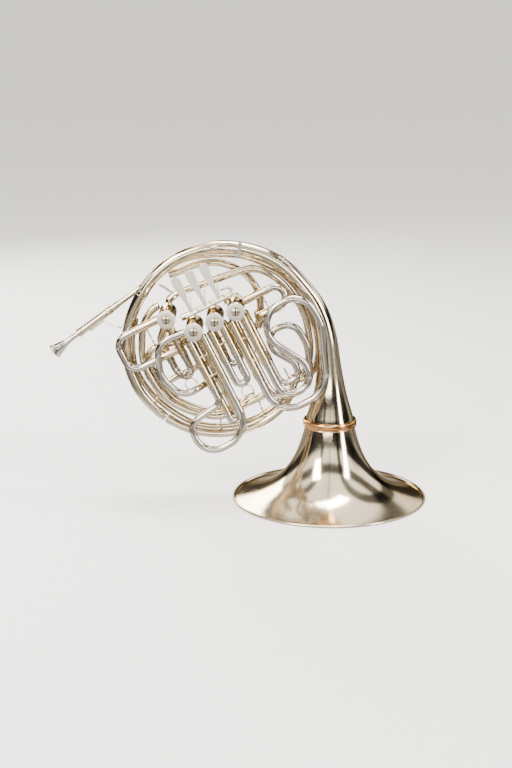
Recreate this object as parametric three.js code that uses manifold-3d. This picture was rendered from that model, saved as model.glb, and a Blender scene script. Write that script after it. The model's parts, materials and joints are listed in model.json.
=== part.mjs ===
// A double french horn standing on its bell: millimetres, +Z up, the bell axis along Z.
// Tubes are drawn as straight turned profiles and then bent along their routes.
import * as THREE from 'three';
import { mergeVertices } from 'three/addons/utils/BufferGeometryUtils.js';
import Module from 'manifold-3d';

const wasm = await Module();
wasm.setup();

// ---- driving dimensions -------------------------------------------------------------------
const BELL_RADIUS = 157;
const BELL_THROAT_SCALE = 31.1;
const BELL_FLARE_POWER = 0.85;
const BELL_WALL = 1.3;
const RIM_BEAD = 1.9;
const RING_HEIGHT = 128;
const RING_HALF = 6.5;
const RING_GROWTH = 3;
const SLIDE_RADIUS = 5.8;
const TUBE_WALL = 0.5;
const SLIDE_GAP = 0.3;
const SLEEVE_WALL = 0.4;
const PIECE_GAP = 0.35;

const VALVE_PITCH = 37.3;
const ROW_ANGLE = 26.35;
const ROW_CENTRE = new THREE.Vector3(-186.7, 0, RING_HEIGHT + 177.8);
const CHANGE_VALVE = { u: -VALVE_PITCH - 29.7, v: -37 };
const CASING_RADIUS = 14;
const CASING_WALL = 0.8;
const CASING_FRONT = -47.5;
const CASING_BACK = 20;
const ROTOR_GAP = 0.35;
const CAP_RADIUS = CASING_RADIUS + 0.6;
const CAP_THICKNESS = 3;
const CAP_BOSS_RADIUS = 6.2;
const SPINDLE_RADIUS = 2.6;
const ROTOR_WAIST = 3.4;
const ROTOR_LAND = 1.2;
const STOP_ARM_LENGTH = 12;

const FRONT = -33;
const REAR = -4;

const LEVER_PITCH = 24.3;
const LEVER_LENGTH = 65.5;
const LEVER_HINGE_V = -27;
const LEVER_PLANE = -47;
const ROD_RADIUS = 1.5;
const HUB_RADIUS = 3;
const MOUTHPIECE_ANGLE = 36.5;

const SIDES = 8;
const ROUND_SIDES = 20;
const BEND_STEP = THREE.MathUtils.degToRad(46);

const SLEEVE_INNER = SLIDE_RADIUS + SLIDE_GAP;
const SLEEVE_RADIUS = SLEEVE_INNER + SLEEVE_WALL;

// ---- finishes -----------------------------------------------------------------------------
function metal(colour, roughness) {
  return new THREE.MeshStandardMaterial({ color: colour, roughness, metalness: 1 });
}
const FINISHES = {
  nickel: [0xd8ccb2, 0.22],
  sleeve: [0xd9c8a2, 0.25],
  silver: [0xcbc6c2, 0.16],
  satin: [0xd4c9b9, 0.45],
  copper: [0xb98a5c, 0.22],
  steel: [0xc9c9cc, 0.2],
};

const horn = new THREE.Group();
function add(name, geometry, finish) {
  const [colour, roughness] = FINISHES[finish];
  const mesh = new THREE.Mesh(geometry, metal(colour, roughness));
  mesh.name = name;
  horn.add(mesh);
  return mesh;
}

// ---- solids -------------------------------------------------------------------------------
function bare(geometry) {
  const copy = geometry.clone();
  copy.deleteAttribute('normal');
  copy.deleteAttribute('uv');
  return mergeVertices(copy, 1e-4);
}

function signedVolume(geometry) {
  const points = geometry.attributes.position;
  const corner = [new THREE.Vector3(), new THREE.Vector3(), new THREE.Vector3()];
  let total = 0;
  for (let i = 0; i < geometry.index.count; i += 3) {
    corner.forEach((point, k) => point.fromBufferAttribute(points, geometry.index.getX(i + k)));
    total += corner[0].dot(corner[1].clone().cross(corner[2]));
  }
  return total / 6;
}

function outward(geometry) {
  const solid = bare(geometry);
  if (signedVolume(solid) < 0) {
    const order = solid.index.array;
    for (let i = 0; i < order.length; i += 3) {
      [order[i], order[i + 1]] = [order[i + 1], order[i]];
    }
  }
  return solid;
}

function toManifold(geometry) {
  const solid = outward(geometry);
  const mesh = new wasm.Mesh({
    numProp: 3,
    vertProperties: Float32Array.from(solid.attributes.position.array),
    triVerts: Uint32Array.from(solid.index.array),
  });
  return new wasm.Manifold(mesh);
}

function fromManifold(solid) {
  const mesh = solid.getMesh();
  const geometry = new THREE.BufferGeometry();
  geometry.setAttribute('position', new THREE.BufferAttribute(Float32Array.from(mesh.vertProperties), 3));
  geometry.setIndex(new THREE.BufferAttribute(Uint32Array.from(mesh.triVerts), 1));
  return geometry;
}

function join(...pieces) {
  return fromManifold(pieces.map(toManifold).reduce((sum, piece) => sum.add(piece)));
}

function cut(body, ...tools) {
  return fromManifold(tools.map(toManifold).reduce((rest, tool) => rest.subtract(tool), toManifold(body)));
}

// ---- frames and routes --------------------------------------------------------------------
const rowAlong = new THREE.Vector3(
  Math.cos(THREE.MathUtils.degToRad(ROW_ANGLE)),
  0,
  Math.sin(THREE.MathUtils.degToRad(ROW_ANGLE)),
);
const rowDown = new THREE.Vector3(rowAlong.z, 0, -rowAlong.x);

// u runs along the valve row, v down the slides, y towards the back of the horn.
function atValves(u, y, v) {
  return ROW_CENTRE.clone()
    .addScaledVector(rowAlong, u)
    .addScaledVector(rowDown, v)
    .setY(y);
}

// A place measured from the change valve's axis.
function changeValve(u, y, v) {
  return atValves(CHANGE_VALVE.u + u, y, CHANGE_VALVE.v + v);
}

function roundCorner(before, corner, after, radius) {
  const inward = before.clone().sub(corner).normalize();
  const onward = after.clone().sub(corner).normalize();
  const turn = Math.PI - inward.angleTo(onward);
  const reach = radius * Math.tan(turn / 2);
  const handle = (4 / 3) * Math.tan(turn / 4) * radius;
  const start = corner.clone().addScaledVector(inward, reach);
  const end = corner.clone().addScaledVector(onward, reach);
  const curve = new THREE.CubicBezierCurve3(
    start,
    start.clone().addScaledVector(inward, -handle),
    end.clone().addScaledVector(onward, -handle),
    end,
  );
  return { curve, start, end, turn };
}

// A bent tube: straight runs joined by round bends. Each corner is [point, bend radius].
function bentRoute(corners) {
  const points = corners.map(([point]) => point);
  const pieces = [];
  let from = points[0];
  for (let i = 1; i < points.length - 1; i += 1) {
    const bend = roundCorner(points[i - 1], points[i], points[i + 1], corners[i][1]);
    pieces.push({ curve: new THREE.LineCurve3(from, bend.start), steps: 1 });
    pieces.push({ curve: bend.curve, steps: Math.max(2, Math.ceil(bend.turn / BEND_STEP)) });
    from = bend.end;
  }
  pieces.push({ curve: new THREE.LineCurve3(from, points.at(-1)), steps: 1 });
  return stationsOf(pieces.filter((piece) => piece.curve.getLength() > 0.5));
}

function smoothRoute(points, steps) {
  const curve = new THREE.CatmullRomCurve3(points, false, 'centripetal');
  return stationsOf([{ curve, steps }]);
}

// Stations along a route, each with its distance, place and a frame carried without twist.
function stationsOf(pieces) {
  const stations = [];
  let distance = 0;
  for (const { curve, steps } of pieces) {
    const length = curve.getLength();
    for (let i = stations.length ? 1 : 0; i <= steps; i += 1) {
      stations.push({
        at: distance + (length * i) / steps,
        place: curve.getPointAt(i / steps),
        tangent: curve.getTangentAt(i / steps).normalize(),
      });
    }
    distance += length;
  }
  let side = new THREE.Vector3(0, 1, 0);
  if (Math.abs(stations[0].tangent.y) > 0.9) {
    side = rowDown.clone();
  }
  let before = stations[0].tangent;
  side.addScaledVector(before, -side.dot(before)).normalize();
  for (const station of stations) {
    const turn = new THREE.Quaternion().setFromUnitVectors(before, station.tangent);
    side = side.clone().applyQuaternion(turn);
    station.side = side;
    station.lift = station.tangent.clone().cross(side);
    before = station.tangent;
  }
  return stations;
}

// A hollow tube: its straight profile is turned, then each ring is set on its station.
function tube(stations, radius, wall = TUBE_WALL, sides = SIDES) {
  const length = stations.at(-1).at;
  const radiusAt = typeof radius === 'number' ? () => radius : radius;
  const outer = stations.map((station, i) => new THREE.Vector2(radiusAt(station.at / length), i));
  const inner = stations.map((station, i) => new THREE.Vector2(radiusAt(station.at / length) - wall, i));
  const profile = [...outer, ...inner.reverse(), outer[0]];
  const straight = new THREE.LatheGeometry(profile, sides);
  return bendAlong(straight, stations);
}

// A solid rod along a route.
function rod(stations, radius, sides = 6) {
  const last = stations.length - 1;
  const profile = [new THREE.Vector2(0, 0)];
  stations.forEach((station, i) => profile.push(new THREE.Vector2(radius, i)));
  profile.push(new THREE.Vector2(0, last));
  return bendAlong(new THREE.LatheGeometry(profile, sides), stations);
}

function bendAlong(straight, stations) {
  const points = straight.attributes.position;
  for (let i = 0; i < points.count; i += 1) {
    const station = stations[Math.round(points.getY(i))];
    const place = station.place.clone()
      .addScaledVector(station.lift, points.getX(i))
      .addScaledVector(station.side, points.getZ(i));
    points.setXYZ(i, place.x, place.y, place.z);
  }
  return outward(straight);
}

function line(from, to) {
  return bentRoute([[from, 0], [to, 0]]);
}

function taper(from, to) {
  return (share) => THREE.MathUtils.lerp(from, to, share);
}

// A turned piece about an axis through `base`, with [radius, height] profile points.
function turned(profile, base, direction, sides = ROUND_SIDES) {
  const points = profile.map(([radius, height]) => new THREE.Vector2(radius, height));
  const geometry = new THREE.LatheGeometry(points, sides);
  const turn = new THREE.Quaternion().setFromUnitVectors(new THREE.Vector3(0, 1, 0), direction);
  geometry.applyQuaternion(turn);
  geometry.translate(base.x, base.y, base.z);
  return outward(geometry);
}

function ringGeometry(centre, radius, thickness, normal) {
  const geometry = new THREE.TorusGeometry(radius, thickness, 4, 12);
  geometry.applyQuaternion(new THREE.Quaternion().setFromUnitVectors(new THREE.Vector3(0, 0, 1), normal));
  geometry.translate(centre.x, centre.y, centre.z);
  return geometry;
}

const UP = new THREE.Vector3(0, 0, 1);
const BACK = new THREE.Vector3(0, 1, 0);

// ---- bell ---------------------------------------------------------------------------------
function flareRadius(height) {
  return BELL_RADIUS * (BELL_THROAT_SCALE / (height + BELL_THROAT_SCALE)) ** BELL_FLARE_POWER;
}

function bellFlare() {
  const top = RING_HEIGHT - PIECE_GAP;
  const heights = [0, 4, 11, 22, 40, 68, 98, RING_HEIGHT - RING_HALF - 1, top];
  const outer = heights.map((height) => [flareRadius(height), height]);
  const inner = heights.map((height) => [flareRadius(height) - BELL_WALL, height]).reverse();
  inner.pop();
  const bead = [
    [BELL_RADIUS - BELL_WALL, RIM_BEAD],
    [BELL_RADIUS - RIM_BEAD, 0],
    [BELL_RADIUS + 0.4, 0],
    [BELL_RADIUS + RIM_BEAD, RIM_BEAD],
  ];
  outer.shift();
  const profile = [...bead, ...outer, ...inner, bead[0]];
  return turned(profile, new THREE.Vector3(), UP, 28);
}

// Half of the two-part screw ring; the halves meet on a flat face at the ring's middle.
const RING_SEAT = flareRadius(RING_HEIGHT - RING_HALF) + PIECE_GAP;
function bellRing(side) {
  const seat = RING_SEAT;
  const crown = seat + RING_GROWTH;
  const profile = [
    [seat, side * PIECE_GAP / 2],
    [crown, side * PIECE_GAP / 2],
    [crown, side * RING_HALF * 0.55],
    [seat + 1, side * RING_HALF],
    [seat, side * RING_HALF],
    [seat, side * PIECE_GAP / 2],
  ];
  return turned(profile, new THREE.Vector3(0, 0, RING_HEIGHT), UP, 28);
}

// ---- bell tail and body branches ----------------------------------------------------------
// Places on the horn's body, with the height counted from the bell ring.
function at(x, y, rise) {
  return new THREE.Vector3(x, y, RING_HEIGHT + rise);
}

function bellTail() {
  const route = smoothRoute([
    at(0, 0, PIECE_GAP), at(0, 0, 32), at(-1, 0, 70), at(-3, 0, 104), at(-6, 1, 137), at(-14, 2, 171),
    at(-27, 3, 200), at(-47, 4, 227), at(-70, 5, 252), at(-98, 6, 271), at(-130, 7, 283), at(-162, 8, 288),
    at(-194, 9, 287), at(-226, 10, 279), at(-255, 10, 265), at(-280, 10, 245), at(-300, 10, 220),
    at(-315, 10, 193), at(-325, 10, 167), at(-330, 10, 142), at(-331, 10, 117), at(-328, 10, 92),
    at(-320, 10, 67), at(-308, 10, 44), at(-290, 10, 23), at(-269, 10, 5),
  ], 25);
  const mouth = RING_SEAT - PIECE_GAP;
  const widths = [
    [0, mouth], [0.012, mouth * 0.955], [0.045, mouth * 0.763], [0.085, mouth * 0.59],
    [0.135, mouth * 0.458], [0.2, 16], [0.27, 13.8],
    [0.35, 12.2], [0.45, 11], [0.6, 10], [0.8, 8.6], [1, 7],
  ];
  return tube(route, steppedTaper(widths), 0.6, 10);
}

function steppedTaper(widths) {
  return (share) => {
    const next = Math.max(1, widths.findIndex(([at]) => at >= share - 1e-9));
    const [fromAt, from] = widths[next - 1];
    const [toAt, to] = widths[next];
    return THREE.MathUtils.mapLinear(share, fromAt, toAt, from, to);
  };
}

function bodyBranch() {
  const route = smoothRoute([
    at(-266.8, 10, 3.4), at(-245, 10, -9), at(-221, 10, -18), at(-196, 10, -22), at(-171, 10, -22),
    at(-147, 10, -18), at(-127, 10, -12), at(-106, 10, -1), at(-88, 10, 12), at(-72, 10, 29),
    at(-62, 11, 50), at(-56, 12, 75),
  ], 11);
  return tube(route, taper(7, 6));
}

function innerBranch() {
  const route = smoothRoute([
    at(-317, 23.5, 168), at(-322, 23.5, 140), at(-322.5, 23.5, 116), at(-317, 23.5, 82),
    at(-300, 23.5, 52), at(-281, 23.5, 30), at(-258, 23.5, 11), at(-229, 23.5, -6),
    at(-200, 23.5, -13), at(-171, 23.5, -13), at(-147, 23.5, -9), at(-123, 23.5, 0),
    at(-100, 23.5, 14), at(-82, 23.5, 30), at(-73, 23.5, 50),
  ], 13);
  return tube(route, taper(4.6, 5.2), 0.5);
}

// A place beside the change valve: an angle above the row's line, and a distance off the casing's skin.
function besideChangeValve(degrees, y, distance) {
  const turn = THREE.MathUtils.degToRad(degrees);
  const reach = CASING_RADIUS + distance;
  return changeValve(-reach * Math.cos(turn), y, -reach * Math.sin(turn));
}

function longArcTube() {
  const route = smoothRoute([
    besideChangeValve(64, 9, 5.36), besideChangeValve(40, 9, 10.55), at(-297, 9, 174), at(-304, 9, 156),
    at(-306, 9, 134), at(-306, 9, 110), at(-301, 9, 88), at(-291, 9, 68), at(-278, 9, 48), at(-259, 9, 31),
    at(-237, 9, 19), at(-212, 9, 11), at(-188, 9, 7), at(-166, 9, 11), at(-147, 9, 22),
    at(-127, 9, 33), at(-108, 9, 44),
  ], 18);
  const pipe = tube(route, SLIDE_RADIUS);
  const struts = [
    [at(-278, 9, 48), at(-286.4, 9.5, 30.6), 1.5],
    [at(-179, 9, 8.2), at(-179, 9.5, -14.6), 1.2],
    [at(-118, 9, 38.5), at(-107, 9.5, 6.8), 1.5],
  ];
  const rods = struts.map(([middle, foot, radius]) => {
    const root = foot.clone().sub(middle).setLength(SLIDE_RADIUS * 0.8);
    return rod(line(middle.clone().add(root), foot), radius);
  });
  return join(pipe, ...rods);
}

function rearArcTube() {
  const arc = smoothRoute([
    atValves(-VALVE_PITCH - 17.4, 22, 12.9), at(-250, 22, 130), at(-272, 22, 124), at(-290, 22, 117),
    at(-297, 22, 102), at(-291, 22, 83), at(-280, 22, 64), at(-267, 22, 46), at(-250, 22, 31),
    at(-229, 22, 21),
    at(-207, 22, 15), at(-186, 22, 13), at(-163, 22, 19), at(-143, 22, 30), at(-123, 22, 41),
  ], 13);
  return tube(arc, SLIDE_RADIUS);
}

function upperBranch() {
  const route = smoothRoute([
    at(-262, 3, 198), at(-258, 3, 206), at(-249, 3, 213), at(-238, 3, 218), at(-214, 3, 226),
    at(-182, 3, 238), at(-150, 3, 249), at(-135, 3, 253.5), at(-118, 3, 253), at(-99, 4, 245),
    at(-79, 6, 230), at(-63, 8, 211), at(-50, 9, 193), at(-40, 9, 169), at(-35, 9, 144),
    at(-33, 9, 119), at(-36, 10, 94), at(-44, 12, 74),
  ], 15);
  return tube(route, SLIDE_RADIUS);
}

function rearCurveTube() {
  const route = smoothRoute([
    at(-262, 27, 240), at(-245, 27, 245), at(-222, 26, 255), at(-206, 25, 259), at(-182, 25, 260),
    at(-152, 25, 250), at(-131, 26, 234),
    at(-119, 26, 215), at(-114, 26, 193), at(-114, 26, 172), at(-118, 26, 152),
  ], 11);
  return tube(route, SLIDE_RADIUS);
}

// ---- mouthpipe ----------------------------------------------------------------------------
const PIPE_DEPTH = 24;
const pipeAxis = new THREE.Vector3(
  Math.cos(THREE.MathUtils.degToRad(MOUTHPIECE_ANGLE)),
  0,
  Math.sin(THREE.MathUtils.degToRad(MOUTHPIECE_ANGLE)),
);
const RECEIVER_START = at(-411, PIPE_DEPTH, 143);
const RECEIVER_LENGTH = 68;
const RECEIVER_RADIUS = 6.4;
const RECEIVER_BORE = 4.9;

function alongPipe(distance) {
  return RECEIVER_START.clone().addScaledVector(pipeAxis, distance);
}

function mouthpieceReceiver() {
  const radius = RECEIVER_RADIUS;
  return turned([
    [RECEIVER_BORE, 0], [radius + 0.9, 0], [radius + 0.9, 6], [radius, 7],
    [radius, RECEIVER_LENGTH - 7], [radius + 0.6, RECEIVER_LENGTH - 6],
    [radius + 0.6, RECEIVER_LENGTH], [RECEIVER_BORE, RECEIVER_LENGTH], [RECEIVER_BORE, 0],
  ], RECEIVER_START, pipeAxis, 12);
}

function mouthpipe() {
  const start = RECEIVER_LENGTH + PIECE_GAP;
  const route = smoothRoute([
    alongPipe(start), alongPipe(start + 18), alongPipe(start + 36), at(-303, 26, 223), at(-287, 27, 239),
    at(-270, 28, 250), at(-250, 28, 260), at(-227, 28, 268), at(-203, 27, 272), at(-179, 26, 273.5),
    at(-147, 25, 272), at(-123, 24, 265), at(-98, 24, 254), at(-74, 24, 238), at(-53, 24, 215),
    at(-37, 24, 187), at(-25, 24, 157), at(-19, 24, 124), at(-20, 25, 100), at(-28, 26, 79),
    at(-46, 27, 66), at(-66, 27, 68),
  ], 21);
  return tube(route, taper(4.7, 5.8));
}

const MOUTHPIECE_LENGTH = 68;
const MOUTHPIECE_INSERT = 18;
function mouthpiece() {
  const base = alongPipe(MOUTHPIECE_INSERT - MOUTHPIECE_LENGTH);
  const tip = MOUTHPIECE_LENGTH;
  return turned([
    [8.8, 1], [9.6, 0], [12, 0], [12.8, 1.2], [12.6, 3], [11.4, 5], [9.4, 12], [7.2, 19], [5.2, 27],
    [4.4, 36], [4.4, tip - MOUTHPIECE_INSERT], [3.7, tip], [2.6, tip], [2.2, 40], [2.2, 24],
    [5.2, 14], [7.6, 6], [8.8, 1],
  ], base, pipeAxis, 13);
}

function receiverBrace() {
  const across = new THREE.Vector3(pipeAxis.z, 0, -pipeAxis.x);
  const offset = RECEIVER_RADIUS + 1.4 + PIECE_GAP;
  const foot = line(
    alongPipe(20).addScaledVector(across, offset),
    alongPipe(46).addScaledVector(across, offset),
  );
  const leg = line(
    alongPipe(44).addScaledVector(across, offset),
    at(-341, 15, 155),
  );
  return join(rod(foot, 1.3), rod(leg, 1.3));
}

// ---- valves -------------------------------------------------------------------------------
const VALVES = [
  { name: 'change', u: CHANGE_VALVE.u, v: CHANGE_VALVE.v },
  { name: 'first', u: -VALVE_PITCH, v: 0 },
  { name: 'second', u: 0, v: 0 },
  { name: 'third', u: VALVE_PITCH, v: 0 },
];

function valveCasing(valve) {
  const outer = CASING_RADIUS;
  const inner = CASING_RADIUS - CASING_WALL;
  const length = CASING_BACK - CASING_FRONT;
  const bearing = SPINDLE_RADIUS + PIECE_GAP;
  return turned([
    [inner, 0], [outer, 0], [outer, length], [bearing + 3, length], [bearing + 3, length + 3],
    [bearing, length + 3], [bearing, length - 3], [inner, length - 3], [inner, 0],
  ], atValves(valve.u, CASING_FRONT, valve.v), BACK, 14);
}

// The rotor is a spindle with a barrel at each level of tubing, and each barrel has two scooped passages.
function rotor(valve) {
  const radius = CASING_RADIUS - CASING_WALL - ROTOR_GAP;
  const start = CASING_FRONT + PIECE_GAP;
  const length = CASING_BACK - 3 - PIECE_GAP - start;
  const shaft = length + 3 + 3 + 7;
  const half = SLIDE_RADIUS + ROTOR_LAND;
  const barrels = [FRONT - start, REAR - start].flatMap((middle) => [
    [ROTOR_WAIST, middle - half], [radius, middle - half],
    [radius, middle + half], [ROTOR_WAIST, middle + half],
  ]);
  const barrel = turned([
    [0, 0], [ROTOR_WAIST, 0], ...barrels, [ROTOR_WAIST, length], [SPINDLE_RADIUS, length],
    [SPINDLE_RADIUS, shaft], [0, shaft],
  ], atValves(valve.u, start, valve.v), BACK, 14);
  const passages = [];
  for (const level of [FRONT, REAR]) {
    for (const side of [-1, 1]) {
      const middle = atValves(valve.u + side * (radius - 4.5), level, valve.v);
      passages.push(rod(line(
        middle.clone().addScaledVector(rowDown, -2 * radius),
        middle.clone().addScaledVector(rowDown, 2 * radius),
      ), SLIDE_RADIUS, 6));
    }
  }
  return cut(barrel, ...passages);
}

function valveCap(valve) {
  const base = atValves(valve.u, CASING_FRONT - PIECE_GAP, valve.v);
  const towardsFront = BACK.clone().negate();
  const disc = turned([
    [0, 0], [CAP_RADIUS, 0], [CAP_RADIUS, CAP_THICKNESS - 0.6], [CAP_RADIUS - 0.6, CAP_THICKNESS],
    [CAP_BOSS_RADIUS, CAP_THICKNESS], [CAP_BOSS_RADIUS, CAP_THICKNESS + 1.8],
    [0, CAP_THICKNESS + 1.8],
  ], base, towardsFront, 16);
  const slot = new THREE.BoxGeometry(1.6, 2.4, 8.6);
  slot.translate(base.x, base.y - CAP_THICKNESS - 1.8, base.z);
  return cut(disc, slot);
}

function stopArm(valve) {
  const start = CASING_BACK + 3 + 2 * PIECE_GAP;
  const hub = turned([
    [SPINDLE_RADIUS + PIECE_GAP, 0], [6, 0], [6, 4], [SPINDLE_RADIUS + PIECE_GAP, 4],
    [SPINDLE_RADIUS + PIECE_GAP, 0],
  ], atValves(valve.u, start, valve.v), BACK, 12);
  const arm = rod(line(
    atValves(valve.u, start + 2, valve.v - 5),
    atValves(valve.u, start + 2, valve.v - STOP_ARM_LENGTH),
  ), 1.7, 8);
  return join(hub, arm);
}

// ---- slides -------------------------------------------------------------------------------
// Corner lists are [u, y, v, bend radius] in the valve row's own directions.
function routeAtValves(corners) {
  return bentRoute(corners.map(([u, y, v, radius = 0]) => [atValves(u, y, v), radius]));
}

// A pair of fixed sleeves, held together by small braces between [u, y, v] points.
function sleevePair(first, second, braces) {
  const pieces = [first, second].map((corners) => (
    tube(routeAtValves(corners), SLEEVE_RADIUS, SLEEVE_WALL)
  ));
  for (const [from, to] of braces) {
    const start = atValves(...from);
    const end = atValves(...to);
    const bite = end.clone().sub(start).setLength(SLEEVE_RADIUS - SLEEVE_WALL / 2);
    pieces.push(rod(line(start.add(bite), end.sub(bite)), 1.4));
  }
  return join(...pieces);
}

function straightSleeves(left, right, depth, top, end, braceAt) {
  return sleevePair(
    [[left, depth, top], [left, depth, end[0]]],
    [[right, depth, top], [right, depth, end[1]]],
    braceAt.map((v) => [[left, depth, v], [right, depth, v]]),
  );
}

const PULL_RING = 9.5;
const PULL_WIRE = 0.9;
const RING_DROP = SLIDE_RADIUS + PULL_RING - 0.6;
function crook(corners, ring = null) {
  const pipe = tube(routeAtValves(corners), SLIDE_RADIUS);
  if (!ring) {
    return pipe;
  }
  const [u, y, v, normal] = ring;
  return join(pipe, ringGeometry(atValves(u, y, v), PULL_RING, PULL_WIRE, normal));
}

const LEG_TOP = CASING_RADIUS + 1;
const F_FIRST = { left: -VALVE_PITCH - 15.7, right: -VALVE_PITCH + 7.3, sleeveEnd: 97 };
const F_SECOND = { left: -15, right: 5.5, sleeveEnd: 63, bow: 113 };
const F_THIRD = { left: VALVE_PITCH - 16.3, right: VALVE_PITCH + 4.7, leftEnd: 112, rightEnd: 98 };
const B_FIRST = {
  left: -VALVE_PITCH - 4.7 - 2 * SLEEVE_RADIUS,
  right: -VALVE_PITCH - 3.2,
  sleeveEnd: 150,
  bow: 170,
};
const B_SECOND = { left: -14, right: 6.5, sleeveEnd: 52, bow: 84 };
const B_THIRD = { left: VALVE_PITCH - 13.3, right: VALVE_PITCH + 7.7, outer: 112, sleeveEnd: 100 };

function fFirstSleeves() {
  const { left, right, sleeveEnd } = F_FIRST;
  return straightSleeves(left, right, FRONT, LEG_TOP, [sleeveEnd, sleeveEnd], [45, 80]);
}
function fFirstCrook() {
  const { left, right } = F_FIRST;
  return crook([
    [left, FRONT, 40], [left, FRONT, 127, 12], [left - 63, FRONT, 137, 24], [left - 63, FRONT, 196, 32],
    [right, FRONT, 194, 44], [right, FRONT, 40],
  ]);
}

function fSecondSleeves() {
  const { left, right, sleeveEnd } = F_SECOND;
  return straightSleeves(left, right, FRONT, LEG_TOP, [sleeveEnd, sleeveEnd], [40]);
}
function fSecondCrook() {
  const { left, right, bow } = F_SECOND;
  const bend = (right - left) / 2;
  return crook([
    [left, FRONT, 22], [left, FRONT, bow, bend], [right, FRONT, bow, bend], [right, FRONT, 22],
  ], [(left + right) / 2, FRONT, bow + RING_DROP, BACK]);
}

function fThirdSleeves() {
  const { left, right, leftEnd, rightEnd } = F_THIRD;
  return straightSleeves(left, right, FRONT, LEG_TOP, [leftEnd, rightEnd], [48, 88]);
}
function fThirdCrook() {
  const { left, right } = F_THIRD;
  return crook([
    [left, FRONT, 40], [left, FRONT, 187, 40], [right + 66, FRONT, 187, 50], [right + 108, FRONT, 80, 60],
    [right + 102, FRONT, 21, 34], [right + 20, FRONT, 23, 40], [right + 25, FRONT, 75, 40],
    [right + 56, FRONT, 127, 28], [right + 52, FRONT, 165, 25], [right + 1, FRONT, 165, 24],
    [right, FRONT, 130, 0.1], [right, FRONT, 40],
  ]);
}

function bFirstSleeves() {
  const { left, right, sleeveEnd } = B_FIRST;
  return sleevePair(
    [[left, REAR, LEG_TOP + 9], [left, REAR, sleeveEnd]],
    [[right, REAR, LEG_TOP], [right, REAR, sleeveEnd]],
    [[[left, REAR, 60], [right, REAR, 60]], [[left, REAR, 120], [right, REAR, 120]]],
  );
}
function bFirstCrook() {
  const { left, right, bow } = B_FIRST;
  const bend = (right - left) / 2;
  return crook([
    [left, REAR, 70], [left, REAR, bow, bend], [right, REAR, bow, bend], [right, REAR, 70],
  ], [(left + right) / 2, REAR, bow + RING_DROP, BACK]);
}

function bSecondSleeves() {
  const { left, right, sleeveEnd } = B_SECOND;
  return straightSleeves(left, right, REAR, LEG_TOP, [sleeveEnd, sleeveEnd], [35]);
}
function bSecondCrook() {
  const { left, right, bow } = B_SECOND;
  const bend = (right - left) / 2;
  return crook([
    [left, REAR, 22], [left, REAR, bow, bend], [right, REAR, bow, bend], [right, REAR, 22],
  ], [(left + right) / 2, REAR, bow + RING_DROP, rowAlong]);
}

function bThirdSleeves() {
  const { left, right, sleeveEnd } = B_THIRD;
  return straightSleeves(left, right, REAR, LEG_TOP, [sleeveEnd, sleeveEnd], [40, 80]);
}
function bThirdCrook() {
  const { left, right, outer } = B_THIRD;
  const span = outer - right - 15;
  return crook([
    [left, REAR, 40], [left, REAR, 172, 32], [outer - 24, REAR, 173, 34], [outer, REAR, 110, 50],
    [outer - 2, REAR, 62, span / 2], [right + 13, REAR, 62, span * 0.41], [right + 15, REAR, 94, 24],
    [right + 36, REAR, 126, 18], [right + 34, REAR, 151, 16], [right + 1, REAR, 151, 14],
    [right, REAR, 130, 0.1], [right, REAR, 40],
  ], [right + 16.5, REAR, 151 - RING_DROP, rowAlong]);
}

const F_TUNING = {
  depth: -7,
  upper: -36.5,
  lower: 22.5,
  bend: 21,
  inner: CHANGE_VALVE.u - 25,
  sleeveEnd: CHANGE_VALVE.u - 55,
  end: CHANGE_VALVE.u - 96.5,
};
function fTuningSleeves() {
  const { depth, upper, lower, sleeveEnd } = F_TUNING;
  const start = CHANGE_VALVE.u - CASING_RADIUS - 1;
  return sleevePair(
    [[start, depth, upper], [sleeveEnd, depth, upper]],
    [[-VALVE_PITCH - 17.2, depth, 5], [start + 4, depth, lower, 18], [sleeveEnd, depth, lower]],
    [[[sleeveEnd + 14, depth, upper], [sleeveEnd + 14, depth, lower]]],
  );
}
function fTuningCrook() {
  const { depth, upper, lower, bend, inner, end } = F_TUNING;
  return crook([
    [inner, depth, upper], [end, depth, upper, bend], [end, depth, lower, bend], [inner, depth, lower],
  ]);
}

const B_TUNING = {
  rightDepth: -20.5,
  leftDepth: 6.5,
  right: CHANGE_VALVE.u - 4.5,
  left: CHANGE_VALVE.u - 31.5,
  sleeveEnd: 30,
  bow: 68,
};
function bTuningSleeves() {
  const { rightDepth, leftDepth, right, left, sleeveEnd } = B_TUNING;
  return sleevePair(
    [[right, rightDepth, CHANGE_VALVE.v + CASING_RADIUS], [right, rightDepth, sleeveEnd]],
    [[right - 5.1, leftDepth, -25], [left, leftDepth, -2, 14], [left, leftDepth, sleeveEnd]],
    [[[right, rightDepth, 6], [left, leftDepth, 6]]],
  );
}
function bTuningCrook() {
  const { rightDepth, leftDepth, right, left, bow } = B_TUNING;
  const bend = Math.hypot(right - left, rightDepth - leftDepth) / 2 - 0.01;
  return crook([
    [right, rightDepth, 8], [right, rightDepth, bow, bend],
    [left, leftDepth, bow, bend], [left, leftDepth, 8],
  ], [(right + left) / 2, (rightDepth + leftDepth) / 2, bow + RING_DROP, BACK]);
}

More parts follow.
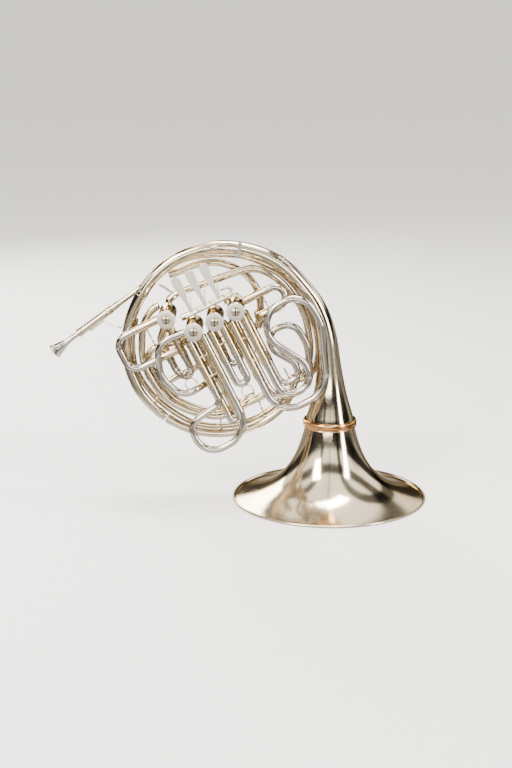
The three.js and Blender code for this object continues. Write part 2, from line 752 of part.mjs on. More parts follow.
const MAIN_TUNING = {
  depth: -14.5,
  upper: -4,
  lower: 29.5,
  inner: VALVE_PITCH + 34.7,
  sleeveEnd: VALVE_PITCH + 57.7,
  end: VALVE_PITCH + 79.7,
};
function mainTuningSleeves() {
  const { depth, upper, lower, inner, sleeveEnd } = MAIN_TUNING;
  const start = VALVE_PITCH + CASING_RADIUS + 1;
  const elbow = inner - 9;
  const brace = sleeveEnd - 11;
  return sleevePair(
    [[start, depth, upper], [sleeveEnd, depth, upper]],
    [[elbow, depth + 30, lower], [elbow, depth, lower, 9], [sleeveEnd, depth, lower]],
    [[[brace, depth, upper], [brace, depth, lower]]],
  );
}
function mainTuningCrook() {
  const { depth, upper, lower, inner, end } = MAIN_TUNING;
  const bend = (lower - upper) / 2 - 0.01;
  return crook([
    [inner, depth, upper], [end, depth, upper, bend], [end, depth, lower, bend], [inner + 4, depth, lower],
  ]);
}

// ---- fixed tubing about the valves --------------------------------------------------------
function loopTube() {
  const first = -VALVE_PITCH;
  const depth = FRONT - 2;
  return tube(routeAtValves([
    [first - CASING_RADIUS - 1, depth, -4], [first - 61.7, depth, -8, 32], [first - 82.7, depth, 44, 40],
    [first - 66.7, depth, 89, 26], [first - 42.7, depth + 1, 89, 12], [first - 24.7, -17.5, 90, 12],
    [first - 6.7, -17.5, 90],
  ]), SLIDE_RADIUS);
}

function rowTube() {
  return tube(routeAtValves([[-VALVE_PITCH - 13.7, 5, -20], [VALVE_PITCH - 11.3, 5, -20]]), 5.2);
}

function thirdValveKnuckle() {
  const left = VALVE_PITCH - 7.3;
  const right = VALVE_PITCH + 12.7;
  return tube(routeAtValves([
    [left, -31, -15.5], [left, -31, -25, 7], [right, -31, -25, 9], [right, -31, -14],
  ]), 4.4);
}

function secondBranchTube() {
  const route = bentRoute([[at(-263, 22, 65), 0], [at(-207, 22, 93), 30], [at(-184, 22, 94), 0]]);
  return tube(route, SLIDE_RADIUS);
}

// ---- levers -------------------------------------------------------------------------------
const ROD_DEPTH = -46;
const PLATE = { depth: 1.6, bevelEnabled: false, curveSegments: 5 };
const LEVERS = ['first', 'second', 'third'].map((name, i) => ({ name, u: LEVER_PITCH * (i - 1) - 1 }));
const HUB_LENGTH = 15;

function leverRod() {
  const reach = LEVER_PITCH + HUB_LENGTH / 2 + 5;
  const axle = rod(routeAtValves([
    [-reach - 1, ROD_DEPTH, LEVER_HINGE_V], [reach - 1, ROD_DEPTH, LEVER_HINGE_V],
  ]), ROD_RADIUS, 8);
  const posts = [-0.5, 0.5].map((share) => rod(routeAtValves([
    [share * LEVER_PITCH - 1, ROD_DEPTH, LEVER_HINGE_V],
    [share * LEVER_PITCH - 1, -1.5, LEVER_HINGE_V + 6],
  ]), 2));
  return join(axle, ...posts);
}

// The paddle's outline, with its root at the hinge and its round tip away from the valves.
function paddleShape() {
  const tip = 7.3;
  const waist = 3.1;
  const shape = new THREE.Shape();
  shape.moveTo(-waist, 2.5);
  shape.lineTo(-waist, 16);
  shape.bezierCurveTo(-waist, 28, -tip, 38, -tip, LEVER_LENGTH - tip);
  shape.absarc(0, LEVER_LENGTH - tip, tip, Math.PI, 0, true);
  shape.bezierCurveTo(tip, 38, waist, 28, waist, 16);
  shape.lineTo(waist, 2.5);
  shape.closePath();
  return shape;
}

function fingerLever(lever) {
  const base = atValves(lever.u, ROD_DEPTH, LEVER_HINGE_V);
  const paddle = new THREE.ExtrudeGeometry(paddleShape(), PLATE);
  const basis = new THREE.Matrix4().makeBasis(rowAlong, rowDown.clone().negate(), BACK);
  paddle.applyMatrix4(basis);
  paddle.translate(base.x, LEVER_PLANE - PLATE.depth / 2, base.z);
  const bore = ROD_RADIUS + PIECE_GAP;
  const hub = turned([
    [bore, 0], [HUB_RADIUS, 0], [HUB_RADIUS, HUB_LENGTH], [bore, HUB_LENGTH], [bore, 0],
  ], atValves(lever.u - HUB_LENGTH / 2, ROD_DEPTH, LEVER_HINGE_V), rowAlong, 12);
  const arm = rod(routeAtValves([
    [lever.u, ROD_DEPTH + 2.4, LEVER_HINGE_V - 0.6], [lever.u, -2, LEVER_HINGE_V - 11, 20],
    [lever.u, 27, LEVER_HINGE_V - 13],
  ]), 1.3);
  return join(hub, paddle, arm);
}

const THUMB_PIVOT = at(-250, 0, 208);
const THUMB_TIP = at(-273, 0, 222.5);
const THUMB_WIDTH = 15;
const THUMB_START = 3 + SLIDE_RADIUS + PIECE_GAP;
function thumbPivot() {
  return rod(line(THUMB_PIVOT.clone().setY(THUMB_START), THUMB_PIVOT.clone().setY(33)), ROD_RADIUS, 8);
}
function thumbLever() {
  const bore = ROD_RADIUS + PIECE_GAP;
  const hub = turned([
    [bore, 0], [HUB_RADIUS, 0], [HUB_RADIUS, 16], [bore, 16], [bore, 0],
  ], THUMB_PIVOT.clone().setY(14), BACK, 12);
  const along = THUMB_TIP.clone().sub(THUMB_PIVOT);
  const length = along.length();
  along.normalize();
  const across = BACK.clone().cross(along);
  const plate = new THREE.Shape();
  plate.moveTo(2.4, -3);
  plate.lineTo(9, -3);
  plate.bezierCurveTo(13, -3, 12, -THUMB_WIDTH / 2, 18, -THUMB_WIDTH / 2);
  plate.absarc(length - THUMB_WIDTH / 2 + 6, 0, THUMB_WIDTH / 2, -Math.PI / 2, Math.PI / 2);
  plate.lineTo(18, THUMB_WIDTH / 2);
  plate.bezierCurveTo(12, THUMB_WIDTH / 2, 13, 3, 9, 3);
  plate.lineTo(2.4, 3);
  plate.closePath();
  const spatula = new THREE.ExtrudeGeometry(plate, PLATE);
  spatula.applyMatrix4(new THREE.Matrix4().makeBasis(along, BACK, across.negate()));
  spatula.translate(THUMB_PIVOT.x, 22, THUMB_PIVOT.z);
  const arm = rod(line(
    THUMB_PIVOT.clone().setY(28).addScaledVector(along, -2.4),
    THUMB_PIVOT.clone().setY(28).addScaledVector(along, -16),
  ), 1.3);
  return join(hub, spatula, arm);
}

function fingerHook() {
  const route = routeAtValves([
    [VALVE_PITCH - 9.3, -22, -37], [VALVE_PITCH + 6.7, -22, -37, 7], [VALVE_PITCH + 8.7, -22, -19],
  ]);
  return rod(route, 2.2, 8);
}

// ---- braces -------------------------------------------------------------------------------
function lyreHolder() {
  const stem = rod(line(at(-186, -6.5, 289.5), at(-150, -6.5, 286)), 1.3);
  const socketWay = new THREE.Vector3(-1, 0, 0.06).normalize();
  const socketProfile = [[0, 0], [3.6, 0], [3.6, 8], [2, 10], [0, 10]];
  const socket = turned(socketProfile, at(-183, -6.5, 289.3), socketWay, 10);
  const strap = new THREE.BoxGeometry(6, 1.6, 26);
  strap.rotateY(THREE.MathUtils.degToRad(9));
  strap.translate(-148, -5.7, RING_HEIGHT + 285);
  return join(stem, socket, strap);
}

// ---- assembly -----------------------------------------------------------------------------
add('bell_flare', bellFlare(), 'nickel');
add('bell_ring_lower', bellRing(-1), 'copper');
add('bell_ring_upper', bellRing(1), 'copper');
add('bell_tail', bellTail(), 'nickel');
add('body_branch', bodyBranch(), 'nickel');
add('inner_branch', innerBranch(), 'nickel');
add('long_arc_tube', longArcTube(), 'nickel');
add('rear_arc_tube', rearArcTube(), 'nickel');
add('upper_branch', upperBranch(), 'nickel');
add('rear_curve_tube', rearCurveTube(), 'nickel');
add('mouthpiece_receiver', mouthpieceReceiver(), 'nickel');
add('mouthpipe', mouthpipe(), 'nickel');
add('mouthpiece', mouthpiece(), 'silver');
add('receiver_brace', receiverBrace(), 'nickel');

for (const valve of VALVES) {
  add(`${valve.name}_valve_casing`, valveCasing(valve), 'nickel');
  add(`${valve.name}_rotor`, rotor(valve), 'nickel');
  add(`${valve.name}_valve_cap`, valveCap(valve), 'satin');
  add(`${valve.name}_stop_arm`, stopArm(valve), 'nickel');
}

add('f_first_sleeves', fFirstSleeves(), 'sleeve');
add('f_first_crook', fFirstCrook(), 'silver');
add('f_second_sleeves', fSecondSleeves(), 'sleeve');
add('f_second_crook', fSecondCrook(), 'silver');
add('f_third_sleeves', fThirdSleeves(), 'sleeve');
add('f_third_crook', fThirdCrook(), 'silver');
add('b_first_sleeves', bFirstSleeves(), 'sleeve');
add('b_first_crook', bFirstCrook(), 'silver');
add('b_second_sleeves', bSecondSleeves(), 'sleeve');
add('b_second_crook', bSecondCrook(), 'silver');
add('b_third_sleeves', bThirdSleeves(), 'sleeve');
add('b_third_crook', bThirdCrook(), 'silver');
add('f_tuning_sleeves', fTuningSleeves(), 'sleeve');
add('f_tuning_crook', fTuningCrook(), 'silver');
add('b_tuning_sleeves', bTuningSleeves(), 'sleeve');
add('b_tuning_crook', bTuningCrook(), 'silver');
add('main_tuning_sleeves', mainTuningSleeves(), 'sleeve');
add('main_tuning_crook', mainTuningCrook(), 'silver');

add('loop_tube', loopTube(), 'silver');
add('row_tube', rowTube(), 'nickel');
add('third_valve_knuckle', thirdValveKnuckle(), 'nickel');
add('second_branch_tube', secondBranchTube(), 'nickel');

add('lever_rod', leverRod(), 'steel');
for (const lever of LEVERS) {
  add(`${lever.name}_lever`, fingerLever(lever), 'satin');
}
add('thumb_pivot', thumbPivot(), 'steel');
add('thumb_lever', thumbLever(), 'satin');
add('finger_hook', fingerHook(), 'nickel');
add('lyre_holder', lyreHolder(), 'silver');

const model = new THREE.Group();
model.add(horn);
const bounds = new THREE.Box3().setFromObject(horn);
horn.position.set(
  -(bounds.min.x + bounds.max.x) / 2,
  -(bounds.min.y + bounds.max.y) / 2,
  -bounds.min.z,
);
export default model;
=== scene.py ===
"""Looks for a double french horn that stands on its bell.

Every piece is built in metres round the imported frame, and rides on one of the frame's bodies.
Sizes in the classes are millimetres, measured from the bell's axis and the bell ring.
"""

import json
import logging
import math
from dataclasses import dataclass, field
from enum import Enum
from typing import Callable, Sequence

import bmesh
import bpy
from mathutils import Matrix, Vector

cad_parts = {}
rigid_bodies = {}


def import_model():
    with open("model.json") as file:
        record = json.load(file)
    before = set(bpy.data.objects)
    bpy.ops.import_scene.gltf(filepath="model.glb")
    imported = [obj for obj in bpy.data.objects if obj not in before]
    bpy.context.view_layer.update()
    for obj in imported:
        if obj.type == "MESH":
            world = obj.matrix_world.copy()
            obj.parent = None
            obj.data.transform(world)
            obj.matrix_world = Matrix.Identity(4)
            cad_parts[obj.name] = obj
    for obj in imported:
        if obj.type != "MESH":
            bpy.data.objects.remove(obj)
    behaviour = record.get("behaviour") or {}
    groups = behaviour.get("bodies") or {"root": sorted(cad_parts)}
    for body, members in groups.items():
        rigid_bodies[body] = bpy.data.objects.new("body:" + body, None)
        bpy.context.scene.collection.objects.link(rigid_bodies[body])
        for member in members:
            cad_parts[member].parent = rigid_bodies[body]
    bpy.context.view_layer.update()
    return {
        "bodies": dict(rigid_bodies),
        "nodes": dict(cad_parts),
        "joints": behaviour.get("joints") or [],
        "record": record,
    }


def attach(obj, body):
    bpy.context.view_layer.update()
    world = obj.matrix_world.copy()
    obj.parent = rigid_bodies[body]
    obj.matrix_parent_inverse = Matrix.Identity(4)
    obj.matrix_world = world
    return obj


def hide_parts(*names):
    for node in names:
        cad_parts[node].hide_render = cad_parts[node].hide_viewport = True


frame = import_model()

LOG = logging.getLogger("horn")

MM = 0.001
HORN_SHIFT = 149.673
RING_HEIGHT = 128.0
RING_HALF = 6.5
SLIDE_RADIUS = 5.8
SLEEVE_RADIUS = 6.5
SLEEVE_WALL = 0.4
TUBE_WALL = 0.5
PULL_RING = 9.5
PIECE_GAP = 0.35

VALVE_PITCH = 37.3
ROW_ANGLE = math.radians(26.35)
ROW_CENTRE = Vector((-186.7, 0.0, RING_HEIGHT + 177.8))
ROW_ALONG = Vector((math.cos(ROW_ANGLE), 0.0, math.sin(ROW_ANGLE)))
ROW_DOWN = Vector((math.sin(ROW_ANGLE), 0.0, -math.cos(ROW_ANGLE)))
CHANGE_U = -VALVE_PITCH - 29.7
CHANGE_V = -37.0
CASING_RADIUS = 14.0
CASING_FRONT = -47.5
CASING_BACK = 20.0
FRONT = -33.0
REAR = -4.0
LEG_TOP = 15.0

UP = Vector((0.0, 0.0, 1.0))
BACK = Vector((0.0, 1.0, 0.0))

BEND_STEP = math.radians(7.0)
TUBE_SIDES = 28
TURNED_SIDES = 64
SMOOTH_ANGLE = math.radians(32.0)

Point = tuple[float, float, float]
Corner = tuple[Vector, float]
Tree = bpy.types.NodeTree
Socket = bpy.types.NodeSocket


def body_place(x: float, y: float, rise: float) -> Vector:
    """A place on the horn's body, its height counted from the bell ring."""
    return Vector((x, y, RING_HEIGHT + rise))


def body_places(*places: Point) -> list[Vector]:
    """Several places on the horn's body, as (x, y, rise)."""
    return [body_place(*place) for place in places]


def level_places(y: float, *places: tuple[float, float]) -> list[Vector]:
    """Several (x, rise) places on the horn's body at the same depth."""
    return [body_place(x, y, rise) for x, rise in places]


def at_valves(u: float, y: float, v: float) -> Vector:
    """A place counted along the valve row (u), back (y) and down the slides (v).

    Args:
        u: Millimetres along the valve row.
        y: Millimetres back.
        v: Millimetres down the slides.

    Returns:
        The place.
    """
    spot = ROW_CENTRE + ROW_ALONG * u + ROW_DOWN * v
    spot.y = y
    return spot


def change_valve(u: float, y: float, v: float) -> Vector:
    """A place measured from the change valve's axis."""
    return at_valves(CHANGE_U + u, y, CHANGE_V + v)


def in_frame(spot: Vector) -> Vector:
    """A millimetre place as metres in the frame."""
    return Vector((spot.x + HORN_SHIFT, spot.y, spot.z)) * MM


# ---- routes -------------------------------------------------------------------------------
@dataclass
class Route:
    """A tube's centre line, as points close enough together to look round."""

    points: list[Vector]
    marks: list[float] = field(default_factory=list)

    def __post_init__(self) -> None:
        """Measures the distance of each point along the line."""
        self.marks = [0.0]
        for before, after in zip(self.points, self.points[1:]):
            self.marks.append(self.marks[-1] + (after - before).length)

    @property
    def length(self) -> float:
        """The whole length in millimetres."""
        return self.marks[-1]

    def tangent(self, i: int) -> Vector:
        """The direction at point i.

        Args:
            i: Which point.

        Returns:
            The unit direction.
        """
        before = self.points[max(0, i - 1)]
        after = self.points[min(len(self.points) - 1, i + 1)]
        return (after - before).normalized()

    def at(self, distance: float) -> tuple[Vector, Vector]:
        """The place and direction at a distance along the line.

        Args:
            distance: Millimetres from the start, or from the end where it is negative.

        Returns:
            The place and the unit direction there.
        """
        if distance < 0:
            distance += self.length
        for i in range(1, len(self.points)):
            if self.marks[i] >= distance:
                span = self.marks[i] - self.marks[i - 1]
                share = (distance - self.marks[i - 1]) / span
                before, after = self.points[i - 1], self.points[i]
                return before.lerp(after, share), (after - before).normalized()
        return self.points[-1], self.tangent(len(self.points) - 1)


def cubic(t: float, start: float | Vector, first: float | Vector, second: float | Vector,
          end: float | Vector) -> float | Vector:
    """A cubic curve's value at share t."""
    s = 1 - t
    return start * s ** 3 + first * (3 * s * s * t) + second * (3 * s * t * t) + end * t ** 3


def round_corner(before: Vector, corner: Vector, after: Vector, radius: float) -> list[Vector]:
    """The points of one bend.

    Args:
        before: The corner before this one.
        corner: The corner that the bend rounds off.
        after: The corner after it.
        radius: The bend's radius.

    Returns:
        Points along the bend, its two ends among them.
    """
    inward = (before - corner).normalized()
    onward = (after - corner).normalized()
    turn = math.pi - inward.angle(onward)
    reach = radius * math.tan(turn / 2)
    handle = (4 / 3) * math.tan(turn / 4) * radius
    start = corner + inward * reach
    end = corner + onward * reach
    first, second = start - inward * handle, end - onward * handle
    steps = max(2, math.ceil(turn / BEND_STEP))
    return [cubic(i / steps, start, first, second, end) for i in range(steps + 1)]


def bent_route(corners: Sequence[Corner]) -> Route:
    """Straight runs joined by round bends.

    Args:
        corners: The corners with their bend radii; the two ends have none.

    Returns:
        The route.
    """
    places = [corner for corner, _ in corners]
    points = [places[0]]
    for i in range(1, len(places) - 1):
        points += round_corner(places[i - 1], places[i], places[i + 1], corners[i][1])
    points.append(places[-1])
    kept = [points[0]]
    for point in points[1:]:
        if (point - kept[-1]).length > 0.05:
            kept.append(point)
    return Route(kept)


def valve_route(corners: Sequence[Sequence[float]]) -> Route:
    """A bent route whose corners are (u, y, v) or (u, y, v, bend radius)."""
    return bent_route([(at_valves(*c[:3]), c[3] if len(c) > 3 else 0.0) for c in corners])


def smooth_route(places: Sequence[Vector], steps: int = 7) -> Route:
    """A smooth line through every place.

    Args:
        places: What the line passes through.
        steps: Points for each stretch between two places.

    Returns:
        The route.
    """
    ends = [places[0] * 2 - places[1], *places, places[-1] * 2 - places[-2]]
    points = []
    for i in range(1, len(ends) - 2):
        p0, p1, p2, p3 = ends[i - 1:i + 3]
        d0, d1, d2 = ((b - a).length ** 0.5 for a, b in ((p0, p1), (p1, p2), (p2, p3)))
        t1 = ((p1 - p0) / d0 - (p2 - p0) / (d0 + d1) + (p2 - p1) / d1) * d1
        t2 = ((p2 - p1) / d1 - (p3 - p1) / (d1 + d2) + (p3 - p2) / d2) * d1
        for k in range(steps):
            t = k / steps
            square, cube = t * t, t ** 3
            curved = p1 + t1 * t + (p2 * 3 - p1 * 3 - t1 * 2 - t2) * square
            points.append(curved + (p1 * 2 - p2 * 2 + t1 + t2) * cube)
    points.append(ends[-2].copy())
    return Route(points)


def steady(radius: float) -> Callable[[float], float]:
    """The same radius all along."""
    return lambda share: radius


def taper(start: float, end: float) -> Callable[[float], float]:
    """A radius that changes evenly from start to end."""
    return lambda share: start + (end - start) * share


def eased(widths: Sequence[tuple[float, float]], blur: float = 0.02) -> Callable[[float], float]:
    """A radius that follows a list of (share, radius) without kinks.

    Args:
        widths: Shares of the length with the radius there.
        blur: The share of the length that each radius is averaged over.

    Returns:
        The radius at any share.
    """
    def straight(share: float) -> float:
        """The unrounded radius.

        Args:
            share: The share of the length.

        Returns:
            The radius there.
        """
        share = min(1.0, max(0.0, share))
        for (from_at, start), (to_at, end) in zip(widths, widths[1:]):
            if share <= to_at:
                return start + (end - start) * (share - from_at) / (to_at - from_at)
        return widths[-1][1]

    def radius(share: float) -> float:
        """The rounded radius; the window closes towards both ends."""
        reach = min(blur, share, 1 - share)
        return sum(straight(share + reach * k / 4) for k in range(-4, 5)) / 9

    return radius


# ---- shapes -------------------------------------------------------------------------------
class Shaper:
    """Gathers the solids of one piece."""

    def __init__(self) -> None:
        """Starts empty."""
        self.mesh = bmesh.new()

    def _loops(self, rings: list[list[Vector]], closed: bool, capped: bool) -> None:
        """Skins a list of rings.

        Args:
            rings: Rings with the same number of points each.
            closed: Whether the last ring joins the first.
            capped: Whether the two end rings are filled.
        """
        loops = [[self.mesh.verts.new(in_frame(point)) for point in ring] for ring in rings]
        count = len(loops[0])
        pairs = list(zip(loops, loops[1:]))
        if closed:
            pairs.append((loops[-1], loops[0]))
        for low, high in pairs:
            for k in range(count):
                n = (k + 1) % count
                self.mesh.faces.new((low[k], low[n], high[n], high[k]))
        if capped:
            self.mesh.faces.new(list(reversed(loops[0])))
            self.mesh.faces.new(loops[-1])

    def skin(self, rings: list[list[Vector]]) -> "Shaper":
        """A solid through a list of rings, closed at both ends."""
        self._loops(rings, False, True)
        return self

    def tube(
        self,
        route: Route,
        radius: float | Callable[[float], float],
        wall: float = 0.0,
        sides: int = TUBE_SIDES,
    ) -> "Shaper":
        """A round tube along a route.

        Args:
            route: The centre line.
            radius: The outer radius, or a function of the share of the length.
            wall: The wall of an open tube; 0 closes both ends.
            sides: Points round the tube.

        Returns:
            This shaper.
        """
        radius_at = steady(radius) if isinstance(radius, (int, float)) else radius
        before = route.tangent(0)
        side = before.orthogonal().normalized()
        outer: list[list[Vector]] = []
        inner: list[list[Vector]] = []
        for i, point in enumerate(route.points):
            tangent = route.tangent(i)
            side = before.rotation_difference(tangent) @ side
            side = (side - tangent * side.dot(tangent)).normalized()
            lift = tangent.cross(side)
            before = tangent
            size = radius_at(route.marks[i] / route.length)
            ring = [
                side * math.cos(2 * math.pi * k / sides) + lift * math.sin(2 * math.pi * k / sides)
                for k in range(sides)
            ]
            outer.append([point + spoke * size for spoke in ring])
            inner.append([point + spoke * (size - wall) for spoke in ring])
        if wall:
            self._loops(outer + inner[::-1], True, False)
        else:
            self._loops(outer, False, True)
        return self

    def rod(self, start: Vector, end: Vector, radius: float, sides: int = 16) -> "Shaper":
        """A straight round rod.

        Args:
            start: Where it starts.
            end: Where it ends.
            radius: Its radius.
            sides: Points round it.

        Returns:
            This shaper.
        """
        return self.turned(
            [(0, 0), (radius, 0), (radius, (end - start).length), (0, (end - start).length)],
            start, end - start, sides,
        )

    def turned(
        self,
        profile: Sequence[tuple[float, float]],
        base: Vector,
        axis: Vector,
        sides: int = TURNED_SIDES,
    ) -> "Shaper":
        """A turned solid.

        Args:
            profile: (radius, height) points that start and end on the axis, or close on themselves.
            base: Where height 0 is.
            axis: The direction of height.
            sides: Points round the axis.

        Returns:
            This shaper.
        """
        turn = UP.rotation_difference(axis.normalized())
        rings = []
        for radius, height in profile:
            if radius <= 1e-6:
                rings.append([self.mesh.verts.new(in_frame(base + turn @ Vector((0, 0, height))))])
                continue
            ring = []
            for k in range(sides):
                angle = 2 * math.pi * k / sides
                spoke = Vector((radius * math.cos(angle), radius * math.sin(angle), height))
                ring.append(self.mesh.verts.new(in_frame(base + turn @ spoke)))
            rings.append(ring)
        pairs = list(zip(rings, rings[1:]))
        if profile[0][0] > 1e-6:
            pairs.append((rings[-1], rings[0]))
        for low, high in pairs:
            for k in range(sides):
                n = (k + 1) % sides
                below = (low[k % len(low)], low[n % len(low)])
                corners = [*below, high[n % len(high)], high[k % len(high)]]
                kept = [c for i, c in enumerate(corners) if c not in corners[:i]]
                if len(kept) > 2:
                    self.mesh.faces.new(kept)
        return self

    def ring(self, centre: Vector, normal: Vector, radius: float, wire: float) -> "Shaper":
        """A round wire ring.

        Args:
            centre: Its centre.
            normal: The direction it faces.
            radius: Its radius.
            wire: The wire's radius.

        Returns:
            This shaper.
        """
        profile = [
            (radius + wire * math.cos(a), wire * math.sin(a))
            for a in (2 * math.pi * k / 12 for k in range(12))
        ]
        return self.turned(profile, centre, normal, 40)

    def ball(self, centre: Vector, radius: float, sides: int = 20) -> "Shaper":
        """A small ball, slightly flattened like a solder bead.

        Args:
            centre: Its centre.
            radius: Its radius.
            sides: Points round it.

        Returns:
            This shaper.
        """
        steps = 8
        profile = [
            (radius * math.sin(math.pi * k / steps), -radius * math.cos(math.pi * k / steps))
            for k in range(steps + 1)
        ]
        profile[0] = (0, profile[0][1])
        profile[-1] = (0, profile[-1][1])
        return self.turned(profile, centre, UP, sides)

    def collar(self, route: Route, distance: float, length: float, radius: float) -> "Shaper":
        """A ferrule round a tube, with a bead at each end.

        Args:
            route: The tube's centre line.
            distance: Where its middle sits along the route.
            length: Its length.
            radius: Its outer radius between the beads.

        Returns:
            This shaper.
        """
        middle, along = route.at(distance)
        half = length / 2
        bead = min(0.35, length / 8)
        seat = radius - 0.9
        profile = [
            (seat, -half), (radius + bead * 0.6, -half), (radius + bead, -half + bead),
            (radius + bead * 0.6, -half + 2 * bead), (radius, -half + 2.4 * bead),
            (radius, half - 2.4 * bead), (radius + bead * 0.6, half - 2 * bead),
            (radius + bead, half - bead), (radius + bead * 0.6, half), (seat, half),
        ]
        return self.turned(profile, middle, along, 40)

    def brace(self, start: Vector, end: Vector, waist: float = 1.15) -> "Shaper":
        """A turned stay with a round foot at each end and a bead in the middle.

        Args:
            start: The first tube's skin.
            end: The second tube's skin.
            waist: The radius between foot and bead.

        Returns:
            This shaper.
        """
        span = (end - start).length
        foot = min(3.4, span * 0.32)
        bead = waist * 1.8
        half = span / 2
        rise = min(1.4, span * 0.18)
        profile = [
            (0, 0), (foot, 0), (foot, rise * 0.45), (waist * 1.5, rise), (waist, rise * 1.7),
            (waist, max(rise * 1.8, half - bead)), (bead, half),
            (waist, min(span - rise * 1.8, half + bead)), (waist, span - rise * 1.7),
            (waist * 1.5, span - rise), (foot, span - rise * 0.45), (foot, span), (0, span),
        ]
        return self.turned(profile, start, end - start, 24)

    def between(self, first: Vector, second: Vector, radius: float, other: float = 0.0) -> "Shaper":
        """A brace between two tube centres.

        Args:
            first: The first tube's centre.
            second: The second tube's centre.
            radius: The first tube's outer radius.
            other: The second tube's outer radius; 0 takes the first's.

        Returns:
            This shaper.
        """
        along = (second - first).normalized()
        sink = 0.45
        end = second - along * ((other or radius) - sink)
        return self.brace(first + along * (radius - sink), end)

    def plate(self, outline: Sequence[Vector], thickness: Vector, edge: float = 0.35) -> "Shaper":
        """A flat plate with eased edges.

        Args:
            outline: Its outline in order.
            thickness: The step from one face to the other.
            edge: How far the edges are eased.

        Returns:
            This shaper.
        """
        centre = sum(outline, Vector()) / len(outline)
        step = thickness.normalized() * edge
        inset = [spot + (centre - spot).normalized() * edge for spot in outline]
        rings = [
            inset,
            [spot + step for spot in outline],
            [spot + thickness - step for spot in outline],
            [spot + thickness for spot in inset],
        ]
        self._loops(rings, False, True)
        return self


# ---- finishes -----------------------------------------------------------------------------
class Slot(Enum):
    """The record's material slots."""

    BODY = "body_nickel"
    RING = "ring_copper"
    SLEEVE = "sleeve_metal"
    SILVER = "slide_silver"
    SATIN = "satin_metal"
    STEEL = "rod_steel"


@dataclass(frozen=True)
class Finish:
    """A metal with its polish, haze and wear.

    Attributes:
        name: The material's name.
        slot: The record's slot that it belongs to; not used.
        colour: Its clean colour.
        aged: Its colour where it is worn.
        polish: Its roughness where it is clean.
        haze: How much roughness haze and fingerprints add.
        scratches: How much roughness fine scratches add.
        dents: How uneven its surface is.
        grain: How far its highlights stretch along the brushing.
        metal: 1 for bare metal, 0 for anything else.
        edge: Its tint seen along the surface.
    """

    name: str
    slot: Slot
    colour: tuple[float, float, float]
    aged: tuple[float, float, float]
    polish: float
    haze: float
    scratches: float
    dents: float
    grain: float = 0.0
    metal: float = 1.0
    edge: tuple[float, float, float] = (0.40, 0.32, 0.22)


NICKEL = Finish(
    "nickel_silver", Slot.BODY, (0.70, 0.60, 0.435), (0.56, 0.45, 0.29), 0.085, 0.05, 0.06, 0.04,
)
SLEEVE = Finish(
    "champagne_sleeve", Slot.SLEEVE, (0.71, 0.585, 0.375), (0.56, 0.43, 0.25),
    0.11, 0.06, 0.10, 0.03,
)
SILVER = Finish(
    "silver_slide", Slot.SILVER, (0.60, 0.545, 0.475), (0.46, 0.40, 0.33), 0.08, 0.05, 0.08, 0.03,
)
COPPER = Finish(
    "copper_ring", Slot.RING, (0.80, 0.47, 0.21), (0.48, 0.24, 0.10), 0.09, 0.06, 0.10, 0.02,
)
SATIN = Finish(
    "satin_cap", Slot.SATIN, (0.93, 0.86, 0.755), (0.70, 0.61, 0.49), 0.36, 0.08, 0.12, 0.02, 0.5,
)
STEEL = Finish(
    "bright_steel", Slot.STEEL, (0.74, 0.74, 0.75), (0.50, 0.48, 0.46), 0.10, 0.06, 0.12, 0.0,
)
CORK = Finish(
    "cork_bumper", Slot.BODY, (0.050, 0.040, 0.036), (0.12, 0.09, 0.06),
    0.72, 0.10, 0.0, 0.0, 0.0, 0.0,
)
# Painted shade: a near-black colour for the floor of each screw slot, standing in for the darkness
# inside the recess.
SLOT_SHADE = Finish(
    "slot_painted_shade", Slot.BODY, (0.045, 0.036, 0.028), (0.09, 0.07, 0.05),
    0.60, 0.10, 0.0, 0.0, 0.0, 0.0,
)


def new_group(
    name: str, inputs: dict[str, float | tuple], outputs: dict[str, str],
) -> tuple[Tree, bpy.types.Node, bpy.types.Node]:
    """An empty shader node group.

    Args:
        name: The group's name.
        inputs: Input names with their default values.
        outputs: Output names with their socket types.

    Returns:
        The group, its input node and its output node.
    """
    group = bpy.data.node_groups.new(name, "ShaderNodeTree")
    for label, value in inputs.items():
        kind = "NodeSocketColor" if isinstance(value, tuple) else "NodeSocketFloat"
        group.interface.new_socket(label, in_out="INPUT", socket_type=kind).default_value = value
    for label, kind in outputs.items():
        group.interface.new_socket(label, in_out="OUTPUT", socket_type=kind)
    return group, group.nodes.new("NodeGroupInput"), group.nodes.new("NodeGroupOutput")


def noise(tree: Tree, where: Socket, scale: float, detail: float) -> Socket:
    """A noise texture's value at a place.

    Args:
        tree: The nodes to build in.
        where: Where the place comes from.
        scale: How fine it is.
        detail: How many finer layers it has.

    Returns:
        Where the result comes from.
    """
    node = tree.nodes.new("ShaderNodeTexNoise")
    node.inputs["Scale"].default_value = scale
    node.inputs["Detail"].default_value = detail
    tree.links.new(where, node.inputs["Vector"])
    return node.outputs["Fac"]


def ramp(tree: Tree, value: Socket, low: float, high: float) -> Socket:
    """A value stretched so that low becomes 0 and high becomes 1.

    Args:
        tree: The nodes to build in.
        value: Where the value comes from.
        low: What becomes 0.
        high: What becomes 1.

    Returns:
        Where the result comes from.
    """
    node = tree.nodes.new("ShaderNodeMapRange")
    node.inputs["From Min"].default_value = low
    node.inputs["From Max"].default_value = high
    tree.links.new(value, node.inputs["Value"])
    return node.outputs["Result"]


def combine(tree: Tree, operation: str, first: Socket, second: Socket) -> Socket:
    """Two values put together by a maths step.

    Args:
        tree: The nodes to build in.
        operation: The maths step.
        first: Where the first value comes from.
        second: Where the second value comes from.

    Returns:
        Where the result comes from.
    """
    node = tree.nodes.new("ShaderNodeMath")
    node.operation = operation
    tree.links.new(first, node.inputs[0])
    tree.links.new(second, node.inputs[1])
    return node.outputs[0]


